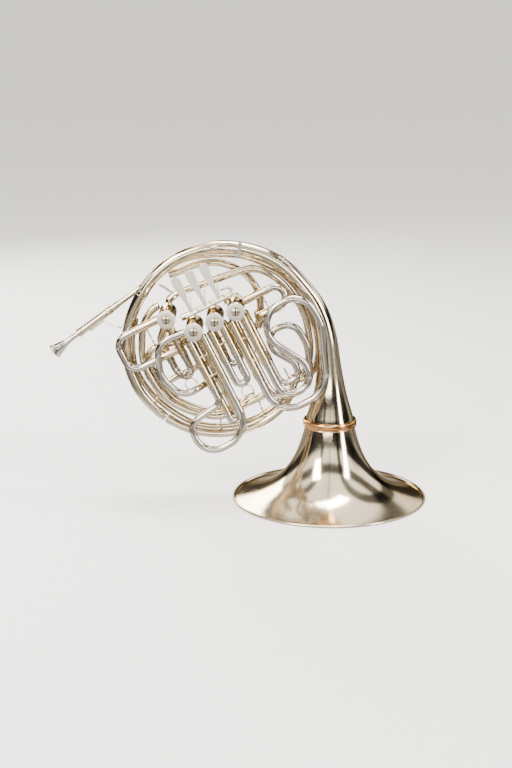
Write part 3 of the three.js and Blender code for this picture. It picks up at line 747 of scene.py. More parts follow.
def blended(
    tree: Tree, factor: float | Socket, first: tuple | Socket, second: tuple | Socket,
    kind: str = "MIX",
) -> Socket:
    """Two colours put together.

    Args:
        tree: The nodes to build in.
        factor: The share of the second colour.
        first: The first colour, or where it comes from.
        second: The second colour, or where it comes from.
        kind: How they are put together.

    Returns:
        The colour.
    """
    node = tree.nodes.new("ShaderNodeMix")
    node.data_type = "RGBA"
    node.blend_type = kind
    for label, given in (("Factor", factor), ("A", first), ("B", second)):
        if isinstance(given, bpy.types.NodeSocket):
            tree.links.new(given, node.inputs[label])
        else:
            node.inputs[label].default_value = given
    return node.outputs["Result"]


def handling_group() -> Tree:
    """Haze, fingerprints and fine scratches on lacquered metal.

    Returns:
        A group that puts out a colour, a roughness and a height.
    """
    inputs = {
        "Colour": (0.8, 0.8, 0.8, 1.0), "Aged": (0.5, 0.5, 0.5, 1.0), "Polish": 0.12,
        "Haze": 0.1, "Scratches": 0.1, "Dents": 0.05,
    }
    outputs = {
        "Colour": "NodeSocketColor", "Roughness": "NodeSocketFloat", "Height": "NodeSocketFloat",
    }
    tree, given, result = new_group("handled_metal", inputs, outputs)
    haze_level, scratch_level = given.outputs["Haze"], given.outputs["Scratches"]
    place = tree.nodes.new("ShaderNodeTexCoord").outputs["Object"]
    cloud = noise(tree, place, 16.0, 5.0)
    prints = noise(tree, place, 85.0, 3.0)
    waves = noise(tree, place, 42.0, 1.0)
    stretch = tree.nodes.new("ShaderNodeMapping")
    stretch.inputs["Rotation"].default_value = (0.5, 0.9, 0.3)
    stretch.inputs["Scale"].default_value = (1.0, 14.0, 1.0)
    tree.links.new(place, stretch.inputs["Vector"])
    hair = noise(tree, stretch.outputs["Vector"], 260.0, 2.0)

    haze = combine(tree, "MULTIPLY", ramp(tree, cloud, 0.36, 0.72), haze_level)
    smudge = combine(tree, "MULTIPLY", ramp(tree, prints, 0.52, 0.74), haze_level)
    fine = combine(tree, "MULTIPLY", ramp(tree, hair, 0.58, 0.70), scratch_level)
    rough = given.outputs["Polish"]
    for extra in (haze, smudge, fine):
        rough = combine(tree, "ADD", rough, extra)
    tree.links.new(rough, result.inputs["Roughness"])

    age = combine(tree, "MULTIPLY", ramp(tree, cloud, 0.42, 0.80), haze_level)
    spread = tree.nodes.new("ShaderNodeMath")
    spread.operation = "MULTIPLY"
    spread.use_clamp = True
    spread.inputs[1].default_value = 4.0
    tree.links.new(combine(tree, "ADD", age, smudge), spread.inputs[0])
    colour = blended(tree, spread.outputs[0], given.outputs["Colour"], given.outputs["Aged"])
    tree.links.new(colour, result.inputs["Colour"])

    dent = combine(tree, "MULTIPLY", waves, given.outputs["Dents"])
    scratch = combine(tree, "MULTIPLY", hair, scratch_level)
    tree.links.new(combine(tree, "ADD", dent, scratch), result.inputs["Height"])
    return tree


class MetalShop:
    """Makes each finish's material once."""

    def __init__(self) -> None:
        """Builds the shared effect."""
        self.handling = handling_group()
        self.made: dict[str, bpy.types.Material] = {}

    def material(self, finish: Finish) -> bpy.types.Material:
        """The material of a finish.

        Args:
            finish: The finish wanted.

        Returns:
            Its material, made on first use.
        """
        if finish.name in self.made:
            return self.made[finish.name]
        material = bpy.data.materials.new(finish.name)
        material.use_nodes = True
        tree = material.node_tree
        shader = tree.nodes["Principled BSDF"]
        shader.inputs["Metallic"].default_value = finish.metal
        shader.inputs["Specular Tint"].default_value = (*finish.edge, 1.0)
        if finish.grain:
            shader.inputs["Anisotropic"].default_value = finish.grain
        effect = tree.nodes.new("ShaderNodeGroup")
        effect.node_tree = self.handling
        for label, value in (
            ("Colour", (*finish.colour, 1.0)), ("Aged", (*finish.aged, 1.0)),
            ("Polish", finish.polish), ("Haze", finish.haze),
            ("Scratches", finish.scratches), ("Dents", finish.dents),
        ):
            effect.inputs[label].default_value = value
        tree.links.new(effect.outputs["Colour"], shader.inputs["Base Color"])
        tree.links.new(effect.outputs["Roughness"], shader.inputs["Roughness"])
        bump = tree.nodes.new("ShaderNodeBump")
        bump.inputs["Strength"].default_value = 0.35
        bump.inputs["Distance"].default_value = 0.0006
        tree.links.new(effect.outputs["Height"], bump.inputs["Height"])
        tree.links.new(bump.outputs["Normal"], shader.inputs["Normal"])
        self.made[finish.name] = material
        return material


class Bench:
    """Turns shapes into finished pieces on the frame's bodies."""

    def __init__(self, packed: dict) -> None:
        """Learns which body each node rides on.

        Args:
            packed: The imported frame.
        """
        bodies = packed["record"]["behaviour"]["bodies"]
        self.body_of = {node: body for body, nodes in bodies.items() for node in nodes}
        self.nodes = packed["nodes"]
        self.metals = MetalShop()
        self.covered: set[str] = set()

    def piece(
        self, name: str, shape: Shaper, node: str, finish: Finish, stands_for: bool = True,
    ) -> bpy.types.Object:
        """Finishes one piece.

        Args:
            name: The piece's name.
            shape: Its solids.
            node: The CAD node whose body it rides on.
            finish: Its metal.
            stands_for: Whether it takes the node's place.

        Returns:
            The object.
        """
        bmesh.ops.recalc_face_normals(shape.mesh, faces=shape.mesh.faces)
        data = bpy.data.meshes.new(name)
        shape.mesh.to_mesh(data)
        shape.mesh.free()
        data.polygons.foreach_set("use_smooth", [True] * len(data.polygons))
        data.set_sharp_from_angle(angle=SMOOTH_ANGLE)
        data.materials.append(self.metals.material(finish))
        piece = bpy.data.objects.new(name, data)
        bpy.context.scene.collection.objects.link(piece)
        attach(piece, self.body_of[node])
        if stands_for:
            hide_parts(node)
            self.covered.add(node)
        LOG.info("made %s on %s", name, self.body_of[node])
        return piece

    def dress(self, node: str, finish: Finish) -> None:
        """Gives a carried-over CAD node its material.

        Args:
            node: The CAD node.
            finish: Its metal.
        """
        data = self.nodes[node].data
        data.materials.clear()
        data.materials.append(self.metals.material(finish))
        self.covered.add(node)


# ---- bell ---------------------------------------------------------------------------------
@dataclass
class Bell:
    """The detachable flare, its rolled rim and the two-part screw ring."""

    radius: float = 157.0
    throat: float = 31.1
    power: float = 0.85
    rim: float = 1.9
    sheet: float = 0.55
    inset: float = 0.7
    growth: float = 3.0
    sides: int = 128

    def at(self, height: float) -> float:
        """The flare's radius at a height."""
        return self.radius * (self.throat / (height + self.throat)) ** self.power

    @property
    def seat(self) -> float:
        """The radius inside the screw ring."""
        return self.at(RING_HEIGHT - RING_HALF) + PIECE_GAP

    def flare(self) -> Shaper:
        """The flare's wall with its rolled rim.

        Returns:
            The solids of the piece.
        """
        top = RING_HEIGHT - PIECE_GAP
        count = 54
        heights = [0.5 + (top - 0.5) * (i / count) ** 1.9 for i in range(count + 1)]
        inner = [(self.at(h) - self.inset, h) for h in heights]
        outer = []
        for height in heights:
            slope = (self.at(height + 0.05) - self.at(height - 0.05)) / 0.1
            size = math.hypot(1, slope)
            radius = self.at(height) - self.inset + self.sheet / size
            outer.append((radius, height - self.sheet * slope / size))
        outer[-1] = (outer[-1][0], top)
        centre = self.radius - 0.05
        bead = [
            (centre + self.rim * math.cos(a), self.rim + self.rim * math.sin(a))
            for a in (math.radians(d) for d in range(-150, 121, 18))
        ]
        profile = bead + [p for p in outer if p[0] < centre - self.rim * 0.4] + inner[::-1]
        return Shaper().turned(profile, Vector((0, 0, 0)), UP, self.sides)

    def half_ring(self, side: int) -> Shaper:
        """One half of the screw ring.

        Args:
            side: 1 for the upper half, -1 for the lower.

        Returns:
            The half with its rolled edge and grooved band.
        """
        crown = self.seat + self.growth
        half = [
            (self.seat, PIECE_GAP / 2), (crown - 0.35, PIECE_GAP / 2), (crown, 0.55), (crown, 2.1),
            (crown - 0.55, 2.35), (crown - 0.55, 2.75), (crown - 0.1, 3.0), (crown - 0.25, 3.9),
            (crown - 0.9, 4.9), (crown - 1.5, 5.25), (crown - 1.3, 5.7), (crown - 1.45, 6.3),
            (crown - 2.1, RING_HALF), (self.seat, RING_HALF),
        ]
        profile = [(radius, side * height) for radius, height in half]
        return Shaper().turned(profile, Vector((0, 0, RING_HEIGHT)), UP, self.sides)

    def build(self, bench: Bench) -> None:
        """Makes the pieces that ride on the bell.

        Args:
            bench: Where pieces are finished.
        """
        bench.piece("bell_flare_metal", self.flare(), "bell_flare", NICKEL)
        bench.piece("bell_ring_lower_metal", self.half_ring(-1), "bell_ring_lower", COPPER)
        upper = self.half_ring(1)
        notch = Vector((0, -(self.seat + self.growth - 0.25), RING_HEIGHT + 1.3))
        upper.rod(notch, notch - BACK * 0.4, 0.75)
        bench.piece("bell_ring_upper_metal", upper, "bell_ring_upper", COPPER)


# ---- the horn's big tubes -----------------------------------------------------------------
@dataclass
class BodyTubes:
    """The bell tail, the conical branches and the fixed tubes round the valves."""

    tail_rise: float = PIECE_GAP
    tail_wall: float = 0.6

    def tail(self, mouth: float) -> tuple[Route, Callable[[float], float]]:
        """The bell tail's centre line and width.

        Args:
            mouth: Its radius at the screw ring.

        Returns:
            The route and the radius along it.
        """
        route = smooth_route(body_places(
            (0, 0, self.tail_rise), (0, 0, 32), (-1, 0, 70), (-3, 0, 104), (-6, 1, 137),
            (-14, 2, 171), (-27, 3, 200), (-47, 4, 227), (-70, 5, 252), (-98, 6, 271),
            (-130, 7, 283), (-162, 8, 288), (-194, 9, 287), (-226, 10, 279), (-255, 10, 265),
            (-280, 10, 245), (-300, 10, 220), (-315, 10, 193), (-325, 10, 167),
            (-330, 10, 142), (-331, 10, 117), (-328, 10, 92), (-320, 10, 67), (-308, 10, 44),
            (-290, 10, 23), (-269, 10, 5),
        ))
        widths = [
            (0, mouth), (0.012, mouth * 0.955), (0.045, mouth * 0.74), (0.085, mouth * 0.576),
            (0.135, mouth * 0.458), (0.2, 16), (0.27, 13.8), (0.35, 12.2), (0.45, 11), (0.6, 10),
            (0.8, 8.6), (1, 7),
        ]
        return route, eased(widths)

    def body_branch(self) -> Route:
        """The lower branch that goes on from the bell tail.

        Returns:
            The centre line.
        """
        return smooth_route(body_places(
            (-266.8, 10, 3.4), (-245, 10, -9), (-221, 10, -18), (-196, 10, -22),
            (-171, 10, -22), (-147, 10, -18), (-127, 10, -12), (-106, 10, -1), (-88, 10, 12),
            (-72, 10, 29), (-62, 11, 50), (-56, 12, 75),
        ))

    def inner_branch(self) -> Route:
        """The branch behind the bell tail.

        Returns:
            The centre line.
        """
        return smooth_route(level_places(
            23.5, (-317, 168), (-322, 140), (-322.5, 116), (-317, 82), (-300, 52), (-281, 30),
            (-258, 11), (-229, -6), (-200, -13), (-171, -13), (-147, -9), (-123, 0),
            (-100, 14), (-82, 30), (-73, 50),
        ))

    def long_arc(self) -> Route:
        """The slide-width tube that follows the circle inside the tail.

        Returns:
            The centre line.
        """
        return smooth_route([
            change_valve(-8.49, 9, -17.4), change_valve(-18.81, 9, -15.78),
            *level_places(
                9, (-297, 174), (-304, 156), (-306, 134), (-306, 110), (-301, 88), (-291, 68),
                (-278, 48), (-259, 31), (-237, 19), (-212, 11), (-188, 7), (-166, 11),
                (-147, 22), (-127, 33), (-108, 44),
            ),
        ])

    def rear_arc(self) -> Route:
        """The tube behind the long arc.

        Returns:
            The centre line.
        """
        return smooth_route([
            at_valves(-VALVE_PITCH - 17.4, 22, 12.9),
            *level_places(
                22, (-250, 130), (-272, 124), (-290, 117), (-297, 102), (-291, 83), (-280, 64),
                (-267, 46), (-250, 31), (-229, 21), (-207, 15), (-186, 13), (-163, 19),
                (-143, 30), (-123, 41),
            ),
        ])

    def upper_branch(self) -> Route:
        """The tube that runs over the valves and down beside the bell tail.

        Returns:
            The centre line.
        """
        return smooth_route(body_places(
            (-262, 3, 198), (-258, 3, 206), (-249, 3, 213), (-238, 3, 218), (-214, 3, 226),
            (-182, 3, 238), (-150, 3, 249), (-135, 3, 253.5), (-118, 3, 253), (-99, 4, 245),
            (-79, 6, 230), (-63, 8, 211), (-50, 9, 193), (-40, 9, 169), (-35, 9, 144),
            (-33, 9, 119), (-36, 10, 94), (-44, 12, 74),
        ))

    def rear_curve(self) -> Route:
        """The short arc at the back of the upper branch.

        Returns:
            The centre line.
        """
        return smooth_route(body_places(
            (-262, 27, 240), (-245, 27, 245), (-222, 26, 255), (-206, 25, 259),
            (-182, 25, 260), (-152, 25, 250), (-131, 26, 234), (-119, 26, 215),
            (-114, 26, 193), (-114, 26, 172), (-118, 26, 152),
        ))

    def loop(self) -> Route:
        """The fixed loop from the first valve towards the slides.

        Returns:
            The centre line.
        """
        first = -VALVE_PITCH
        depth = FRONT - 2
        return valve_route([
            (first - CASING_RADIUS - 0.2, depth, -4), (first - 61.7, depth, -8, 32),
            (first - 82.7, depth, 44, 40), (first - 66.7, depth, 89, 26),
            (first - 42.7, depth + 1, 89, 12), (first - 24.7, -17.5, 90, 12),
            (first - 6.7, -17.5, 90),
        ])

    def build(self, bench: Bench, bell: Bell) -> None:
        """Makes the pieces.

        Args:
            bench: Where pieces are finished.
            bell: The bell, whose ring the tail meets.
        """
        tail, width = self.tail(bell.seat - PIECE_GAP)
        shape = Shaper().tube(tail, width, self.tail_wall, 56)
        for share, length in ((0.985, 9.0), (0.70, 8.0), (0.375, 7.0)):
            shape.collar(tail, tail.length * share, length, width(share) + 0.75)
        bench.piece("bell_tail_metal", shape, "bell_tail", NICKEL)

        branch = self.body_branch()
        shape = Shaper().tube(branch, taper(7, 6), TUBE_WALL, 32)
        shape.collar(branch, 5, 9, 7.7).collar(branch, -7, 12, 6.8)
        bench.piece("body_branch_metal", shape, "body_branch", NICKEL)

        inner = self.inner_branch()
        shape = Shaper().tube(inner, taper(4.6, 5.2), TUBE_WALL)
        shape.collar(inner, 8, 14, 5.3).collar(inner, -9, 14, 5.9)
        bench.piece("inner_branch_metal", shape, "inner_branch", NICKEL)

        arc = self.long_arc()
        shape = Shaper().tube(arc, SLIDE_RADIUS, TUBE_WALL)
        shape.collar(arc, 9, 12, 6.5).collar(arc, -8, 13, 6.5)
        shape.collar(arc, arc.length * 0.37, 9, 6.4)
        for middle, foot in (
            (body_place(-278, 9, 48), body_place(-286.4, 9.5, 30.6)),
            (body_place(-179, 9, 8.2), body_place(-179, 9.5, -14.6)),
            (body_place(-118, 9, 38.5), body_place(-107, 9.5, 6.8)),
        ):
            shape.brace(middle + (foot - middle).normalized() * (SLIDE_RADIUS - 0.5), foot, 1.3)
        bench.piece("long_arc_metal", shape, "long_arc_tube", NICKEL)

        rear = self.rear_arc()
        shape = Shaper().tube(rear, SLIDE_RADIUS, TUBE_WALL)
        shape.collar(rear, 8, 12, 6.5).collar(rear, -8, 13, 6.5)
        bench.piece("rear_arc_metal", shape, "rear_arc_tube", NICKEL)

        upper = self.upper_branch()
        shape = Shaper().tube(upper, SLIDE_RADIUS, TUBE_WALL)
        shape.collar(upper, 12, 14, 6.5).collar(upper, 92, 10, 6.4)
        shape.collar(upper, 150, 10, 6.4).collar(upper, -9, 14, 6.6)
        bench.piece("upper_branch_metal", shape, "upper_branch", NICKEL)

        curve = self.rear_curve()
        shape = Shaper().tube(curve, SLIDE_RADIUS, TUBE_WALL)
        shape.collar(curve, 7, 10, 6.4).collar(curve, -8, 12, 6.5)
        bench.piece("rear_curve_metal", shape, "rear_curve_tube", NICKEL)

        loop = self.loop()
        shape = Shaper().tube(loop, SLIDE_RADIUS, TUBE_WALL)
        shape.collar(loop, 14, 12, 6.4).collar(loop, -7, 9, 6.4)
        bench.piece("loop_tube_metal", shape, "loop_tube", SILVER)

        row = valve_route([(-VALVE_PITCH - 13.7, 5, -20), (VALVE_PITCH - 11.3, 5, -20)])
        shape = Shaper().tube(row, 5.2, TUBE_WALL).collar(row, 5, 8, 5.9)
        bench.piece("row_tube_metal", shape, "row_tube", NICKEL)

        left, right = VALVE_PITCH - 7.3, VALVE_PITCH + 12.7
        knuckle = valve_route([
            (left, -31, -14.6), (left, -31, -25, 7), (right, -31, -25, 9), (right, -31, -13),
        ])
        shape = Shaper().tube(knuckle, 4.4, TUBE_WALL)
        bench.piece("knuckle_metal", shape, "third_valve_knuckle", NICKEL)

        second = bent_route([
            (body_place(-263, 22, 65), 0.0), (body_place(-207, 22, 93), 30.0),
            (body_place(-184, 22, 94), 0.0),
        ])
        shape = Shaper().tube(second, SLIDE_RADIUS, TUBE_WALL).collar(second, -6, 10, 6.4)
        bench.piece("second_branch_metal", shape, "second_branch_tube", NICKEL)


# ---- mouthpipe ----------------------------------------------------------------------------
@dataclass
class Mouthpipe:
    """The mouthpiece, its receiver, and the long tapered pipe."""

    angle: float = math.radians(36.5)
    depth: float = 24.0
    receiver_length: float = 68.0
    receiver_radius: float = 6.4
    receiver_bore: float = 4.9
    mouthpiece_length: float = 68.0
    insert: float = 18.0

    @property
    def axis(self) -> Vector:
        """The direction of the receiver."""
        return Vector((math.cos(self.angle), 0, math.sin(self.angle)))

    def along(self, distance: float) -> Vector:
        """A place on the receiver's axis."""
        return body_place(-411, self.depth, 143) + self.axis * distance

    def pipe(self) -> Route:
        """The mouthpipe's centre line.

        Returns:
            The centre line.
        """
        start = self.receiver_length + PIECE_GAP
        return smooth_route([
            self.along(start), self.along(start + 18), self.along(start + 36),
            *body_places(
                (-303, 26, 223), (-287, 27, 239), (-270, 28, 250), (-250, 28, 260),
                (-227, 28, 268), (-203, 27, 272), (-179, 26, 273.5), (-147, 25, 272),
                (-123, 24, 265), (-98, 24, 254), (-74, 24, 238), (-53, 24, 215),
                (-37, 24, 187), (-25, 24, 157), (-19, 24, 124), (-20, 25, 100), (-28, 26, 79),
                (-46, 27, 66), (-66, 27, 68),
            ),
        ])

    def mouthpiece(self) -> Shaper:
        """The cup, its rim, the shank and the bore.

        Returns:
            The solids of the piece.
        """
        tip = self.mouthpiece_length
        profile = [
            (8.6, 1.3), (8.9, 0.5), (9.6, 0.1), (10.6, 0.0), (11.6, 0.15), (12.3, 0.7),
            (12.7, 1.6), (12.7, 2.6), (12.2, 3.8), (11.2, 5.6), (10.2, 8.6), (9.2, 12.5),
            (8.1, 16.5), (6.9, 20.5), (5.9, 24.5), (5.1, 28.5), (4.6, 33), (4.4, 38),
            (4.4, tip - self.insert), (3.7, tip),
            (2.7, tip), (2.4, 50), (2.2, 38), (2.2, 26), (2.9, 21), (4.3, 16.5), (5.9, 12),
            (7.2, 8), (8.1, 4),
        ]
        return Shaper().turned(profile, self.along(self.insert - tip), self.axis)

    def receiver(self) -> Shaper:
        """The receiver with its rolled mouth and end ferrule.

        Returns:
            The solids of the piece.
        """
        size, length, bore = self.receiver_radius, self.receiver_length, self.receiver_bore
        profile = [
            (bore, 0), (size + 0.5, 0), (size + 0.9, 0.5), (size + 0.9, 2.2), (size + 0.3, 2.7),
            (size + 0.3, 5.2), (size + 0.8, 5.6), (size + 0.8, 6.6), (size, 7.2),
            (size - 0.2, length - 8),
            (size + 0.5, length - 7.4), (size + 0.6, length - 6.6), (size + 0.2, length - 6),
            (size + 0.2, length - 1.6), (size + 0.6, length - 1.1), (size + 0.4, length),
            (bore, length),
        ]
        return Shaper().turned(profile, self.along(0), self.axis)

    def brace(self) -> Shaper:
        """The stay that holds the receiver off the body.

        Returns:
            The solids of the piece.
        """
        across = Vector((self.axis.z, 0, -self.axis.x))
        offset = self.receiver_radius + 1.4 + PIECE_GAP
        foot = bent_route([(self.along(d) + across * offset, 0.0) for d in (20, 46)])
        landing = body_place(-341, 15, 155)
        leg = bent_route([(self.along(44) + across * offset, 0.0), (landing, 0.0)])
        shape = Shaper().tube(foot, 1.3, 0, 16).tube(leg, 1.3, 0, 16)
        for distance in (20, 46):
            shape.ball(self.along(distance) + across * offset, 1.9)
        return shape.ball(landing, 2.0)

    def build(self, bench: Bench) -> None:
        """Makes the pieces.

        Args:
            bench: Where pieces are finished.
        """
        bench.piece("mouthpiece_metal", self.mouthpiece(), "mouthpiece", SILVER)
        bench.piece("receiver_metal", self.receiver(), "mouthpiece_receiver", NICKEL)
        pipe = self.pipe()
        shape = Shaper().tube(pipe, taper(4.7, 5.8), TUBE_WALL)
        shape.collar(pipe, 7, 12, 5.6).collar(pipe, -9, 16, 6.5)
        shape.collar(pipe, pipe.length * 0.52, 11, 6.1)
        bench.piece("mouthpipe_metal", shape, "mouthpipe", NICKEL)
        bench.piece("receiver_brace_metal", self.brace(), "receiver_brace", NICKEL)


# ---- valves -------------------------------------------------------------------------------
@dataclass
class Valve:
    """One rotary valve: casing, screwed cap, rotor and stop arm."""

    name: str
    u: float
    v: float
    cap_radius: float = 14.6
    cap_thickness: float = 3.0
    screw_radius: float = 7.0
    slot_half: float = 1.05
    spindle: float = 2.6
    arm: float = 12.0

    def at(self, y: float, u: float = 0.0, v: float = 0.0) -> Vector:
        """A place measured from the valve's axis."""
        return at_valves(self.u + u, y, self.v + v)

    def casing(self) -> Shaper:
        """The casing with its threaded collar, bands and rear bearing.

        Returns:
            The solids of the piece.
        """
        size = CASING_RADIUS
        inner = size - 0.8
        length = CASING_BACK - CASING_FRONT
        bearing = self.spindle + PIECE_GAP
        profile = [
            (inner, 0), (size, 0), (size, 3.4), (size - 0.5, 3.9), (size - 0.5, 5.0),
            (size - 0.15, 5.5), (size - 0.15, length - 7), (size, length - 6.4),
            (size, length - 1.2), (size - 0.7, length - 0.2),
            (size - 1.4, length), (bearing + 3.4, length), (bearing + 3, length + 0.4),
            (bearing + 3, length + 2.7), (bearing + 2.6, length + 3), (bearing, length + 3),
            (bearing, length - 3), (inner, length - 3),
        ]
        return Shaper().turned(profile, self.at(CASING_FRONT), BACK)

    def stops(self) -> Shaper:
        """The cork plate behind the casing.

        Returns:
            The solids of the piece.
        """
        shape = Shaper()
        for side in (-1, 1):
            start = self.at(CASING_BACK - 0.2, side * 9.6, -4.2)
            shape.rod(start, start + BACK * 6.6, 1.9, 20)
        return shape

    def cap(self) -> Shaper:
        """The screwed cap, with a grooved edge and a groove round its screw.

        Returns:
            The solids of the piece.
        """
        size, thick, groove = self.cap_radius, self.cap_thickness, self.screw_radius + 0.5
        profile = [
            (0, 0), (size - 0.25, 0), (size, 0.3), (size, 1.0), (size - 0.35, 1.25), (size, 1.5),
            (size, thick - 0.55), (size - 0.45, thick - 0.1), (size - 0.9, thick),
            (groove + 1.3, thick), (groove + 1.0, thick - 0.5), (groove, thick - 0.5),
            (0, thick - 0.5),
        ]
        return Shaper().turned(profile, self.at(CASING_FRONT - PIECE_GAP), -BACK, 96)

    def screw(self) -> Shaper:
        """The domed screw in the middle of the cap, as two halves with a slot between them.

        Returns:
            The solids of the piece.
        """
        size, slot = self.screw_radius, self.slot_half
        foot = self.cap_thickness - 0.4
        middle = self.at(CASING_FRONT - PIECE_GAP)
        shape = Shaper()
        profile = [(size, foot + 0.7), (size, foot + 1.1)]
        for i in range(1, 9):
            angle = math.pi / 2 * i / 9
            profile.append((size * math.cos(angle), foot + 1.1 + 1.1 * math.sin(angle)))
        for side in (-1, 1):
            rings = []
            for radius, height in profile:
                reach = math.acos(slot / radius)
                turns = [reach * k / 12 for k in range(-12, 13)]
                rings.append([
                    middle - BACK * height
                    + Vector((side * radius * math.cos(turn), 0, radius * math.sin(turn)))
                    for turn in turns
                ])
            shape.skin(rings)
        return shape

    def slot_floor(self) -> Shaper:
        """The disc at the bottom of the screw's slot, coloured near-black as painted shade in the
        recess.

        Returns:
            The solids of the piece.
        """
        size, foot = self.screw_radius, self.cap_thickness - 0.4
        profile = [(0, foot), (size, foot), (size, foot + 0.8), (0, foot + 0.8)]
        return Shaper().turned(profile, self.at(CASING_FRONT - PIECE_GAP), -BACK, 48)

    def stop_arm(self) -> Shaper:
        """The stop arm's hub, its arm, its screw and the wound string.

        Returns:
            The solids of the piece.
        """
        start = CASING_BACK + 3 + 2 * PIECE_GAP
        bore = self.spindle + PIECE_GAP
        shape = Shaper().turned([
            (bore, 0), (5.7, 0), (6, 0.3), (6, 0.9), (5.2, 1.3), (5.2, 2.7), (6, 3.1),
            (6, 3.7), (5.7, 4), (bore, 4),
        ], self.at(start), BACK, 40)
        shape.rod(self.at(start + 2, 0, -5), self.at(start + 2, 0, -self.arm), 1.5)
        return shape.ball(self.at(start + 2, 0, -self.arm + 0.4), 1.9)

    def build(self, bench: Bench) -> None:
        """Makes the valve's pieces.

        Args:
            bench: Where pieces are finished.
        """
        casing, cap = f"{self.name}_valve_casing", f"{self.name}_valve_cap"
        bench.piece(f"{self.name}_casing_metal", self.casing(), casing, NICKEL)
        bench.piece(f"{self.name}_stop_corks", self.stops(), casing, CORK, False)
        bench.piece(f"{self.name}_cap_metal", self.cap(), cap, SATIN)
        bench.piece(f"{self.name}_cap_screw", self.screw(), cap, NICKEL, False)
        # The slot floor wears painted shade, near-black so the screw's recess reads dark.
        bench.piece(f"{self.name}_slot_floor", self.slot_floor(), cap, SLOT_SHADE, False)
        stop_arm = f"{self.name}_stop_arm"
        bench.piece(f"{stop_arm}_metal", self.stop_arm(), stop_arm, NICKEL)
        bench.dress(f"{self.name}_rotor", NICKEL)


# ---- slides -------------------------------------------------------------------------------
@dataclass
class Slide:
    """One tuning slide: two fixed sleeves and the crook that draws out of them."""

    name: str
    sleeves: list[list[Sequence[float]]]
    crook: list[Sequence[float]]
    braces: list[tuple[Point, Point]] = field(default_factory=list)
    pull: tuple[float, float, float, str] | None = None
    bows: tuple[float, ...] = ()
    wire: float = 0.9

    def sleeve_shape(self) -> Shaper:
        """The sleeves with their ferrules and stays.

        Returns:
            The solids of the piece.
        """
        shape = Shaper()
        for corners in self.sleeves:
            route = valve_route(corners)
            shape.tube(route, SLEEVE_RADIUS, SLEEVE_WALL, 32)
            shape.collar(route, -2.6, 5.0, SLEEVE_RADIUS + 0.35)
            shape.collar(route, 6.5, 9.0, SLEEVE_RADIUS + 0.3)
        for start, end in self.braces:
            shape.between(at_valves(*start), at_valves(*end), SLEEVE_RADIUS)
        return shape

    def crook_shape(self) -> Shaper:
        """The crook with the ferrules where its bow begins, and its pull ring.

        Returns:
            The solids of the piece.
        """
        route = valve_route(self.crook)
        shape = Shaper().tube(route, SLIDE_RADIUS, TUBE_WALL)
        for distance in self.bows:
            shape.collar(route, distance, 6.5, SLIDE_RADIUS + 0.6)
        if self.pull:
            u, y, v, facing = self.pull
            normal = BACK if facing == "back" else ROW_ALONG
            shape.ring(at_valves(u, y, v), normal, PULL_RING, self.wire)
            shape.ball(at_valves(u, y, v) - ROW_DOWN * (PULL_RING - 0.2), 1.5)
        return shape

    def build(self, bench: Bench) -> None:
        """Makes the two pieces.

        Args:
            bench: Where pieces are finished.
        """
        sleeves, crook = f"{self.name}_sleeves", f"{self.name}_crook"
        bench.piece(f"{sleeves}_metal", self.sleeve_shape(), sleeves, SLEEVE)
        bench.piece(f"{crook}_metal", self.crook_shape(), crook, SILVER)


def legs(
    sides: tuple[float, float], depth: float, ends: tuple[float, float], top: float = LEG_TOP - 2,
) -> list[list[Point]]:
    """Two straight sleeves side by side.

    Args:
        sides: The u of each sleeve.
        depth: The y of both sleeves.
        ends: The v where each one ends.
        top: The v where the first one starts; the second starts at the usual place.

    Returns:
        Each sleeve's corners.
    """
    left, right = sides
    return [
        [(left, depth, top), (left, depth, ends[0])],
        [(right, depth, LEG_TOP - 2), (right, depth, ends[1])],
    ]


def stays(
    sides: tuple[float, float], depth: float, levels: Sequence[float],
) -> list[tuple[Point, Point]]:
    """The stays between two sleeves.

    Args:
        sides: The u of each sleeve.
        depth: The y of both sleeves.
        levels: The v of each stay.

    Returns:
        Each stay's two ends.
    """
    return [((sides[0], depth, v), (sides[1], depth, v)) for v in levels]


